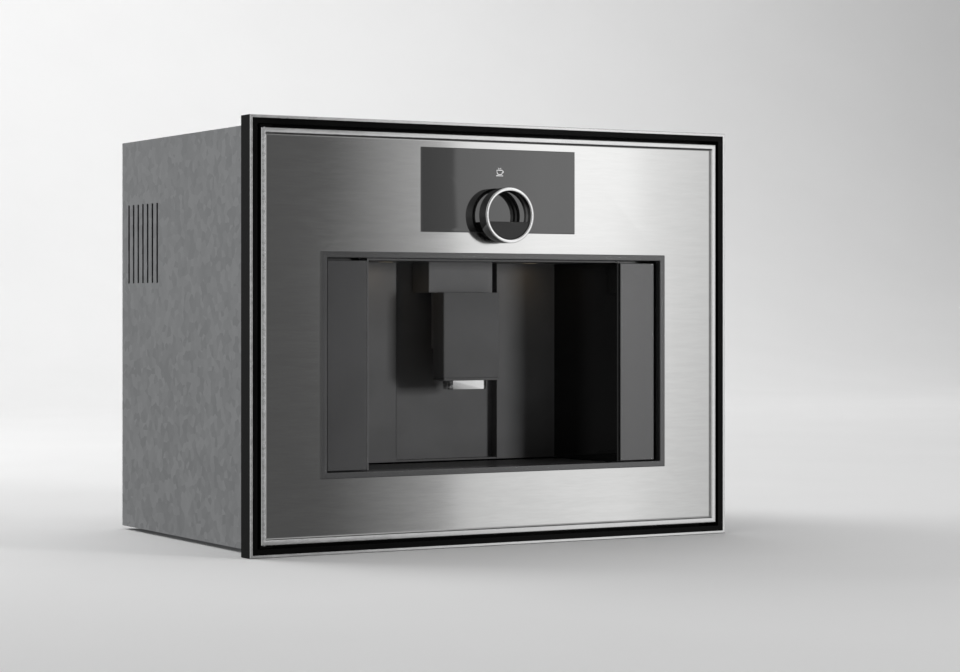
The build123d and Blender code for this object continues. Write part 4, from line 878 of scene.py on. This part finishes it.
def roll_edges(sheet, seam, width, depth, steps=6):
    """Draw the panel's outer edges in by a seam, and roll them back in a shallow curve."""
    low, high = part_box("door_panel")
    bm = opened(sheet.data)
    for axis in (X, Z):
        for vertex in bm.verts:
            if abs(vertex.co[axis] - low[axis]) < ON_PLANE:
                vertex.co[axis] += seam
            elif abs(vertex.co[axis] - high[axis]) < ON_PLANE:
                vertex.co[axis] -= seam
    for axis in (X, Z):
        for step in range(steps):
            line = width * (1 - step / steps)
            for place in (low[axis] + seam + line, high[axis] - seam - line):
                cut(bm, AXES[axis] * place, AXES[axis])
    for vertex in bm.verts:
        if vertex.co.y < low.y + ON_PLANE:
            inside = min(*(vertex.co - low).xz, *(high - vertex.co).xz) - seam
            vertex.co.y += depth * max(0.0, 1 - inside / width) ** 2
    write_back(bm, sheet.data)
    smooth_by_angle(sheet.data)


def crown_front(ring, crown, steps=8):
    """Turn the flat front of a square ring into a low arch from its outer to its inner edge."""
    bm = opened(ring.data)
    front = min(vertex.co.y for vertex in bm.verts)
    flats = [face for face in bm.faces if all(vertex.co.y < front + ON_PLANE for vertex in face.verts)]
    corners = list({vertex for face in flats for vertex in face.verts})
    middle = sum((vertex.co for vertex in corners), Vector()) / len(corners)
    bmesh.ops.delete(bm, geom=flats, context="FACES")
    quarters = {}
    for vertex in corners:
        quarters.setdefault((vertex.co.x > middle.x, vertex.co.z > middle.z), []).append(vertex)
    rows = []
    for key in ((False, False), (True, False), (True, True), (False, True)):
        outer, inner = sorted(quarters[key], key=lambda vertex: -abs(vertex.co.x - middle.x))
        start, end = outer.co.copy(), inner.co.copy()
        row = [outer]
        for step in range(1, steps):
            share = step / steps
            spot = start.lerp(end, share)
            spot.y += crown * (2 * share - 1) ** 2
            row.append(bm.verts.new(spot))
        outer.co.y += crown
        inner.co.y += crown
        rows.append(row + [inner])
    for row, after in zip(rows, rows[1:] + rows[:1]):
        for step in range(steps):
            bm.faces.new((row[step], after[step], after[step + 1], row[step + 1]))
    bmesh.ops.recalc_face_normals(bm, faces=bm.faces)
    write_back(bm, ring.data)
    smooth_by_angle(ring.data, degrees=20.0)


def darken_sides(ring, finish, lip):
    """Give the frame edge's outer sides, behind a lip at the front, a second finish."""
    low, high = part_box("frame_edge")
    outermost = 0.1 * MM
    bm = opened(ring.data)
    cut(bm, (0.0, low.y + lip, 0.0), AXES[Y])
    for face in bm.faces:
        centre = face.calc_center_median()
        from_outside = min(*(centre - low).xz, *(high - centre).xz)
        if from_outside < outermost and centre.y > low.y + lip:
            face.material_index = 1
    write_back(bm, ring.data)
    ring.data.materials.append(FINISHES[finish])
    smooth_by_angle(ring.data)


class MACHINE_OT_niche(Operator):
    """Walls, ceiling, side strips and lamps of the niche"""

    bl_idname = "machine.niche"
    bl_label = "Niche"

    def execute(self, context):
        niche = context.scene.machine_niche
        rounded_copy("niche_shell", "niche_shell_satin", niche.edge_round / 2, segments=2)
        rounded_copy("niche_side_panel", "niche_side_gloss", niche.edge_round / 2, segments=2)
        for node in ("brew_cover", "tank_front"):
            rounded_copy(node, node + "_satin", niche.edge_round, finish="strip")
        smooth_copy("niche_lamps")
        back_wall_seam_shade(niche)
        return {"FINISHED"}


def back_wall_seam_shade(niche):
    """The seam at the left edge of the back wall's channel, as a thin black strip: painted shade of the gap
    between two sheets.
    """
    low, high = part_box("niche_shell")
    beside = 1.0 * MM
    wall = min(vertex.co.y for vertex in frame["nodes"]["niche_shell"].data.vertices
               if abs(vertex.co.x - niche.seam_place) < beside)
    bm = bmesh.new()
    ribbon(bm, [(niche.seam_place, low.z + niche.seam_end), (niche.seam_place, high.z - niche.seam_end)],
           niche.seam_width, wall - niche.seam_proud, wall + niche.seam_sunk)
    # black strip: painted shade of the seam's gap
    mounted(from_bmesh(bm, "niche_seam_painted_shade"), BODY_OF["niche_shell"], "black")


class MACHINE_OT_spout(Operator):
    """Coffee spout: column, head, polished nozzle block and its outlets"""

    bl_idname = "machine.spout"
    bl_label = "Spout"

    def execute(self, context):
        niche = context.scene.machine_niche
        low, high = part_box("spout_head")
        seam_z = low.z + niche.head_seam_height
        inset = niche.edge_round + niche.head_corner / 4
        bm = bmesh.new()
        for corner_low, corner_high, level in (
                (low, (high.x, high.y, seam_z - niche.head_seam / 2), niche.edge_round),
                ((low.x, low.y, seam_z + niche.head_seam / 2), high, niche.edge_round),
                ((low.x + inset, low.y + inset, seam_z - niche.head_seam),
                 (high.x - inset, high.y - inset, seam_z + niche.head_seam), 0.0)):
            rounded_block(bm, corner_low, corner_high, niche.head_corner, level)
        head = from_bmesh(bm, "spout_head_satin")
        smooth_by_angle(head.data, degrees=25.0)
        stand_for(head, "spout_head", "head")
        # the column's lighter finish is painted light
        smooth_copy("spout_column", finish="column", degrees=25.0)
        smooth_copy("spout_nozzle", degrees=30.0)
        smooth_copy("outlet_tubes")
        return {"FINISHED"}


class MACHINE_OT_display(Operator):
    """Display glass with its small sign, and the module behind it"""

    bl_idname = "machine.display"
    bl_label = "Display"

    def execute(self, context):
        display = context.scene.machine_display
        rounded_copy("display_glass", "display_glass_gloss", display.glass_edge, segments=2)
        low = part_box("display_glass")[0]
        middle = Vector((display.sign_x, low.z + display.sign_above))
        bm = bmesh.new()
        for points, share, closed in sign_lines():
            ribbon(bm, [middle + Vector(point) * display.sign_size for point in points],
                   display.sign_line * share, low.y - display.sign_thick, low.y, closed)
        mounted(from_bmesh(bm, "display_sign"), BODY_OF["display_glass"], "sign")
        smooth_copy("display_module")
        return {"FINISHED"}


def sign_lines():
    """The sign's lines: points in shares of its width, share of the line's width, and whether it closes."""
    brim, side, corner, top, bend = 0.42, 0.38, 0.22, 0.28, -0.02
    bowl = [(-brim, top), (-side, bend)]
    bowl += [(-side + corner * (1 - math.cos(angle)), bend - corner * math.sin(angle))
             for angle in angles(15, 90, 15)]
    bowl += [(-x, z) for x, z in reversed(bowl)]
    handle = [(0.39 + 0.17 * math.sin(angle), 0.08 + 0.13 * math.cos(angle)) for angle in angles(0, 180, 18)]
    saucer = [(-0.5, -0.42), (0.5, -0.42)]
    lines = [(bowl, 1.0, True), (handle, 1.0, False), (saucer, 1.0, False)]
    for middle in (-0.14, 0.14):
        steam = [(middle + 0.05 * math.sin(angle), 0.38 + 0.03 * step)
                 for step, angle in enumerate(angles(0, 252, 36))]
        lines.append((steam, 0.8, False))
    return lines


class MACHINE_OT_control_ring(Operator):
    """Hollow control ring and the half-moon core that it turns on"""

    bl_idname = "machine.control_ring"
    bl_label = "Control ring"

    def execute(self, context):
        ring = context.scene.machine_ring
        low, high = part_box("control_ring")
        radius, length = (high.x - low.x) / 2, high.y - low.y
        edge, bore = ring.bevel, radius - ring.wall
        groove_low = ring.groove_from_front
        groove_high = groove_low + ring.groove_width
        profile = arc_points(edge, radius - edge, edge, 180, 90)
        profile += arc_points(length - edge, radius - edge, edge, 90, 0)
        profile += arc_points(length - edge, bore + edge, edge, 0, -90)
        profile += [(groove_high, bore), (groove_high, bore + ring.groove_deep),
                    (groove_low, bore + ring.groove_deep), (groove_low, bore)]
        profile += arc_points(edge, bore + edge, edge, -90, -180)
        centre = ((low.x + high.x) / 2, low.y, (low.z + high.z) / 2)
        piece = lathe("control_ring_polished", profile, centre, Y, ring.segments)
        stand_for(piece, "control_ring", "ring")
        # outer side, back and bore take the darkened steel: painted dark reflection
        piece.data.materials.append(FINISHES["ring_side"])
        for face in piece.data.polygons:
            if face.center.y > low.y + edge:
                face.material_index = 1
        rounded_copy("ring_core", "ring_core_satin", ring.core_edge, finish="core")
        return {"FINISHED"}


class MACHINE_OT_drip_tray(Operator):
    """Drip grid with its slats, tray, float and grounds container"""

    bl_idname = "machine.drip_tray"
    bl_label = "Drip tray"

    def execute(self, context):
        grid = context.scene.machine_grid
        low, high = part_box("drip_grid")
        body, slot = BODY_OF["drip_grid"], SLOT_OF["drip_grid"]
        count = int((high.x - low.x - grid.least_border) / grid.slot_pitch)
        front, back = low.y + grid.front_border, high.y - grid.back_border
        slats = grown("drip_grid_slats", bar_tree("drip_grid_slats"), {
            "Width": grid.slot_pitch - grid.slot_width, "Height": grid.slat_height,
            "Length": back - front + 2 * grid.slat_seat, "Rounding": grid.rounding,
            "Pitch": grid.slot_pitch, "Count": count - 1},
            "grid", ((low.x + high.x) / 2, (front + back) / 2, high.z - grid.slat_height / 2))
        mounted(slats, body, None)
        side = count * grid.slot_pitch / 2 - grid.slot_width / 2
        bm = bmesh.new()
        for left, near, right, far in (
                (low.x, low.y, high.x, front), (low.x, back, high.x, high.y),
                (low.x, front, -side, back), (side, front, high.x, back)):
            block(bm, (left, near, low.z), (right, far, high.z))
        border = from_bmesh(bm, "drip_grid_border")
        union_faces(border)
        add_rounding(border, grid.rounding)
        mounted(border, body, "grid")
        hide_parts("drip_grid")
        for node in ("drip_tray", "grounds_container"):
            rounded_copy(node, node + "_plastic", grid.rounding)
        smooth_copy("tray_float")
        return {"FINISHED"}


def union_faces(obj):
    """Melt blocks that stand face to face into one closed shape."""
    bm = opened(obj.data)
    twins = {}
    for face in bm.faces:
        key = tuple(sorted(tuple(round(value, 6) for value in vertex.co) for vertex in face.verts))
        twins.setdefault(key, []).append(face)
    doubled = [face for faces in twins.values() if len(faces) > 1 for face in faces]
    bmesh.ops.delete(bm, geom=doubled, context="FACES")
    bmesh.ops.dissolve_limit(bm, angle_limit=math.radians(0.5), verts=bm.verts, edges=bm.edges)
    bmesh.ops.recalc_face_normals(bm, faces=bm.faces)
    write_back(bm, obj.data)


class MACHINE_OT_door_back(Operator):
    """Liner, bumpers, catches, hinge blocks, brackets and pins"""

    bl_idname = "machine.door_back"
    bl_label = "Door back and hinges"

    def execute(self, context):
        casing = context.scene.machine_casing
        small_edge = casing.moulded_edge / 2
        rounded_copy("door_liner", "door_liner_plastic", casing.moulded_edge)
        rounded_copy("door_bushings", "door_bushings_plastic", small_edge, "black", 2)
        rounded_copy("hinge_brackets", "hinge_brackets_black", small_edge, "band", 2)
        rounded_copy("catch_plates", "catch_plates_zinc", small_edge, segments=2)
        rounded_copy("catch_magnets", "catch_magnets_black", small_edge, segments=2)
        smooth_copy("hinge_pins")
        turned_group("door_bumpers", Y, casing.bumper_edge, both_rims=True)
        return {"FINISHED"}


class MACHINE_OT_casing(Operator):
    """Zinc coated casing, its screws, feet and mains inlet"""

    bl_idname = "machine.casing"
    bl_label = "Casing"

    def execute(self, context):
        casing = context.scene.machine_casing
        for node in ("front_chassis", "base_pan", "side_left", "side_right", "top_cover", "rear_cover"):
            rounded_copy(node, node + "_sheet", casing.sheet_edge, segments=2)
        rounded_copy("power_inlet", "power_inlet_black", casing.sheet_edge, segments=2)
        turned_group("feet", Z, casing.foot_edge, both_rims=False)
        places, radius = island_places("casing_screws")
        low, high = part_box("casing_screws")
        screws = grown("casing_screws_steel", screw_tree("casing_screws"), {
            "Head radius": radius / casing.washer_share, "Washer radius": radius,
            "Height": 2 * (high.y - low.y), "Turn": (math.radians(90), 0.0, 0.0), "Sides": 6},
            "zinc", points=[(x, low.y, z) for x, _, z in places], rounding=casing.screw_edge)
        mounted(screws, BODY_OF["casing_screws"], None)
        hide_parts("casing_screws")
        return {"FINISHED"}


class MACHINE_OT_containers(Operator):
    """Water tank, bean drawer and their lids"""

    bl_idname = "machine.containers"
    bl_label = "Tank and bean drawer"

    def execute(self, context):
        for node in ("tank_body", "tank_lid", "bean_container", "bean_lid"):
            rounded_copy(node, node + "_moulded", context.scene.machine_casing.moulded_edge)
        smooth_copy("tank_valve")
        return {"FINISHED"}


class MACHINE_OT_inner_works(Operator):
    """Brewing unit, grinder, pump, heater, hoses, boards, shelves and runners"""

    bl_idname = "machine.inner_works"
    bl_label = "Inner works"

    def execute(self, context):
        casing = context.scene.machine_casing
        for node in ("brew_unit", "brew_drive", "pump", "tank_socket", "control_board", "spout_guide",
                     "grounds_funnel"):
            rounded_copy(node, node + "_finished", casing.moulded_edge, segments=2)
        for node in ("tray_runners", "tank_shelf", "bean_shelf", "inner_deck"):
            rounded_copy(node, node + "_sheet", casing.sheet_edge, segments=2)
        rounded_copy("thermoblock", "thermoblock_cast", casing.moulded_edge)
        for node in ("brew_piston", "water_hoses"):
            smooth_copy(node, degrees=50.0)
        for node in ("grinder_body", "grinder_motor"):
            smooth_copy(node, degrees=30.0)
        return {"FINISHED"}


# ---------------------------------------------------------------- studio
class MACHINE_OT_studio(Operator):
    """Pale floor and backdrop, soft lamps, niche lamps and the camera"""

    bl_idname = "machine.studio"
    bl_label = "Studio"

    def execute(self, context):
        studio = context.scene.machine_studio
        sweep = studio_sweep(studio)
        sweep.data.materials.append(pale_floor("pale_floor", studio.floor_colour))
        sweep.visible_glossy = False
        make_lamps(studio, context.scene.machine_niche)
        make_world(context.scene, studio)
        make_camera(context.scene, studio)
        context.scene.view_settings.view_transform = "Standard"
        return {"FINISHED"}


def studio_sweep(studio):
    """Floor that rises into a backdrop behind the machine in one curve."""
    half, back, front, height, bend = 12.0, 6.0, -9.0, 7.0, 2.6
    outline = [(front, 0.0), (back - bend, 0.0)]
    outline += [(back - bend + bend * math.sin(angle), bend - bend * math.cos(angle))
                for angle in angles(6, 90, 6)]
    outline += [(back, height)]
    bm = bmesh.new()
    left, right = ([bm.verts.new((x, y, z - studio.floor_gap)) for y, z in outline] for x in (-half, half))
    for index in range(len(outline) - 1):
        bm.faces.new((left[index], right[index], right[index + 1], left[index + 1]))
    sweep = new_object(bm, "studio_floor")
    sweep.data.shade_smooth()
    return sweep


def pale_floor(name, colour):
    """Matt pale floor with the faintest mottle."""
    material, tree, shader = new_finish(name, roughness=0.9, specular=0.1)
    mottle = pattern(tree, 3.0, detail=5.0)
    feed(tree, shader, {"Base Color": two_tone(tree, mottle, shade(colour, 0.985), shade(colour, 1.0))})
    return material


# the soft lamps: name, place, the point it looks at, its size, its power's setting and the share of that
LAMPS = (
    ("key_lamp", (2.28, -3.65, 0.36), (0.0, 0.0, 0.22), (0.8, 0.8), "key_power", 1.0),
    ("top_lamp", (0.0, 0.2, 3.0), (0.0, 0.2, 0.0), (3.0, 3.0), "top_power", 1.0),
    ("rear_lamp", (-1.6, 2.4, 2.0), (0.0, 0.0, 0.2), (2.0, 2.0), "top_power", 1.0),
    ("backdrop_lamp", (1.5, 3.0, 4.0), (3.0, 6.0, 1.2), (6.0, 2.0), "top_power", 3.0),
)
WARM = (1.0, 0.72, 0.42)    # colour of the niche lamps' light
LAMP_GAP = 0.5 * MM         # a niche lamp's lens to its light


def soft_lamp(name, place, aim, size, power):
    """Rectangular area lamp looking at a point."""
    data = bpy.data.lights.new(name, "AREA")
    data.shape = "RECTANGLE"
    data.size, data.size_y = size
    data.energy = power
    lamp = link(bpy.data.objects.new(name, data))
    lamp.location = place
    lamp.rotation_mode = "QUATERNION"
    lamp.rotation_quaternion = (Vector(aim) - Vector(place)).to_track_quat("-Z", "Y")
    lamp.visible_glossy = False
    lamp.visible_camera = False
    return data


def make_lamps(studio, niche):
    """The studio's soft lamps and the two warm lamps in the niche's ceiling."""
    for name, place, aim, size, power, share in LAMPS:
        soft_lamp(name, place, aim, size, getattr(studio, power) * share)
    low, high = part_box("niche_lamps")
    radius, y, z = niche.lamp_radius, (low.y + high.y) / 2, low.z - LAMP_GAP
    for side, x in (("left", low.x + radius), ("right", high.x - radius)):
        lamp = soft_lamp("niche_lamp_" + side, (x, y, z), (x, y, 0.0), (radius, radius), niche.lamp_power)
        lamp.shape = "DISK"
        lamp.color = WARM


# the studio that the steel mirrors: degrees to the right of straight ahead, the grey of the panels
# and cloths there a little above the horizon, and the grey a little below it
BANDS = (
    (-180, 0.50, 0.40), (-110, 0.40, 0.30), (-60, 0.55, 0.40), (-30, 0.90, 0.65), (-12, 0.75, 0.55),
    (0, 0.40, 0.30), (9, 0.60, 0.45), (16, 0.50, 0.35), (21.5, 0.10, 0.10), (26.5, 0.12, 0.10),
    (28.0, 0.38, 0.24), (29.3, 0.58, 0.42), (29.4, 1.10, 0.70), (31.4, 1.40, 0.85), (33.5, 1.40, 1.00),
    (33.7, 1.15, 0.85), (34.9, 0.95, 0.75), (42, 0.40, 0.35), (55, 0.80, 0.60), (80, 0.45, 0.35),
    (130, 0.40, 0.30), (180, 0.50, 0.40))
# the ramp is finest around this azimuth, and half as fine this many degrees beside it
CENTRE, SHARP = 30.0, 4.0
# heights, as the sine of the elevation, over which the lower bands turn into the upper ones, the upper
# ones into the dome, and the lower ones into the ground
HORIZON, DOME_EDGE, GROUND_EDGE = (-0.10, 0.05), (0.16, 0.5), (-0.5, -0.16)


def grey(value):
    """A grey colour."""
    return (value, value, value, 1.0)


def band_ramp(tree, share, row):
    """The bands' greys in one row, over the azimuth's share of the ramp."""
    ramp = add_node(tree, "ShaderNodeValToRGB", {"Fac": share})
    elements = ramp.color_ramp.elements
    for band in BANDS[1:-1]:
        elements.new(0.5 + math.atan((band[0] - CENTRE) / SHARP) / math.pi)
    for element, band in zip(elements, BANDS):
        element.color = grey(band[row])
    return ramp.outputs["Color"]


def smooth_step(tree, value, edges, low=0.0, high=1.0):
    """A smooth step between two values."""
    return spread(tree, value, low, high, *edges, interpolation_type="SMOOTHSTEP")


def make_world(scene, studio):
    """Surroundings that metal mirrors as upright bands, under an even ambient light and a pale background."""
    world = bpy.data.worlds.new("studio_world")
    scene.world = world
    world.use_nodes = True
    tree = world.node_tree
    direction = add_node(tree, "ShaderNodeTexCoord").outputs["Generated"]
    parts = add_node(tree, "ShaderNodeSeparateXYZ", {"Vector": direction}).outputs
    azimuth = arithmetic(tree, "ARCTAN2", parts["X"], arithmetic(tree, "MULTIPLY", parts["Y"], -1.0))
    scaled = arithmetic(tree, "MULTIPLY_ADD", azimuth, math.degrees(1) / SHARP, -CENTRE / SHARP)
    share = arithmetic(tree, "MULTIPLY_ADD", arithmetic(tree, "ARCTANGENT", scaled), 1 / math.pi, 0.5)
    upper, lower = (band_ramp(tree, share, row) for row in (1, 2))
    mirrored = mixed(tree, "Color", lower, upper, smooth_step(tree, parts["Z"], HORIZON))
    mirrored = mixed(tree, "Color", mirrored, grey(studio.dome), smooth_step(tree, parts["Z"], DOME_EDGE))
    mirrored = mixed(tree, "Color", mirrored, grey(studio.ground),
                     smooth_step(tree, parts["Z"], GROUND_EDGE, 1.0, 0.0))
    rays = add_node(tree, "ShaderNodeLightPath").outputs
    lit = mixed(tree, "Color", mirrored, grey(studio.ambient), rays["Is Diffuse Ray"])
    seen = mixed(tree, "Color", lit, grey(studio.floor_colour[0]), rays["Is Camera Ray"])
    feed(tree, tree.nodes["Background"], {"Color": seen})


def make_camera(scene, studio):
    """Camera at the photograph's viewing angle."""
    data = bpy.data.cameras.new("camera")
    data.lens = studio.lens
    data.shift_y = studio.shift
    camera = link(bpy.data.objects.new("camera", data))
    camera.location = studio.camera_place
    camera.rotation_euler = (math.radians(90), 0.0, -studio.camera_turn)
    scene.camera = camera


# ---------------------------------------------------------------- panel and registration
class MACHINE_PT_panel(Panel):
    """Lists the machine's settings and the steps that build it"""

    bl_idname = "MACHINE_PT_panel"
    bl_label = "Coffee machine"
    bl_space_type = "VIEW_3D"
    bl_region_type = "UI"
    bl_category = "Coffee machine"

    def draw(self, context):
        for group, kind in SETTINGS.items():
            box = self.layout.box()
            box.label(text=kind.__doc__)
            for name in kind.__annotations__:
                box.prop(getattr(context.scene, group), name)
        for step in STEPS:
            self.layout.operator(step.bl_idname)


SETTINGS = {
    "machine_steel": SteelSettings, "machine_niche": NicheSettings, "machine_display": DisplaySettings,
    "machine_ring": RingSettings, "machine_grid": GridSettings, "machine_casing": CasingSettings,
    "machine_studio": StudioSettings,
}
STEPS = (
    MACHINE_OT_finishes, MACHINE_OT_steel_front, MACHINE_OT_niche, MACHINE_OT_spout, MACHINE_OT_display,
    MACHINE_OT_control_ring, MACHINE_OT_drip_tray, MACHINE_OT_door_back, MACHINE_OT_casing,
    MACHINE_OT_containers, MACHINE_OT_inner_works, MACHINE_OT_studio,
)
CLASSES = (*SETTINGS.values(), *STEPS, MACHINE_PT_panel)


def register():
    """Register the classes and put the settings on the scene."""
    for kind in CLASSES:
        bpy.utils.register_class(kind)
    for group, kind in SETTINGS.items():
        setattr(bpy.types.Scene, group, PointerProperty(type=kind))


def unregister():
    """Undo register."""
    for group in SETTINGS:
        delattr(bpy.types.Scene, group)
    for kind in reversed(CLASSES):
        bpy.utils.unregister_class(kind)


def main():
    """Build every piece and the studio."""
    register()
    for step in STEPS:
        getattr(bpy.ops.machine, step.bl_idname.split(".")[1])()


if __name__ == "__main__":
    main()
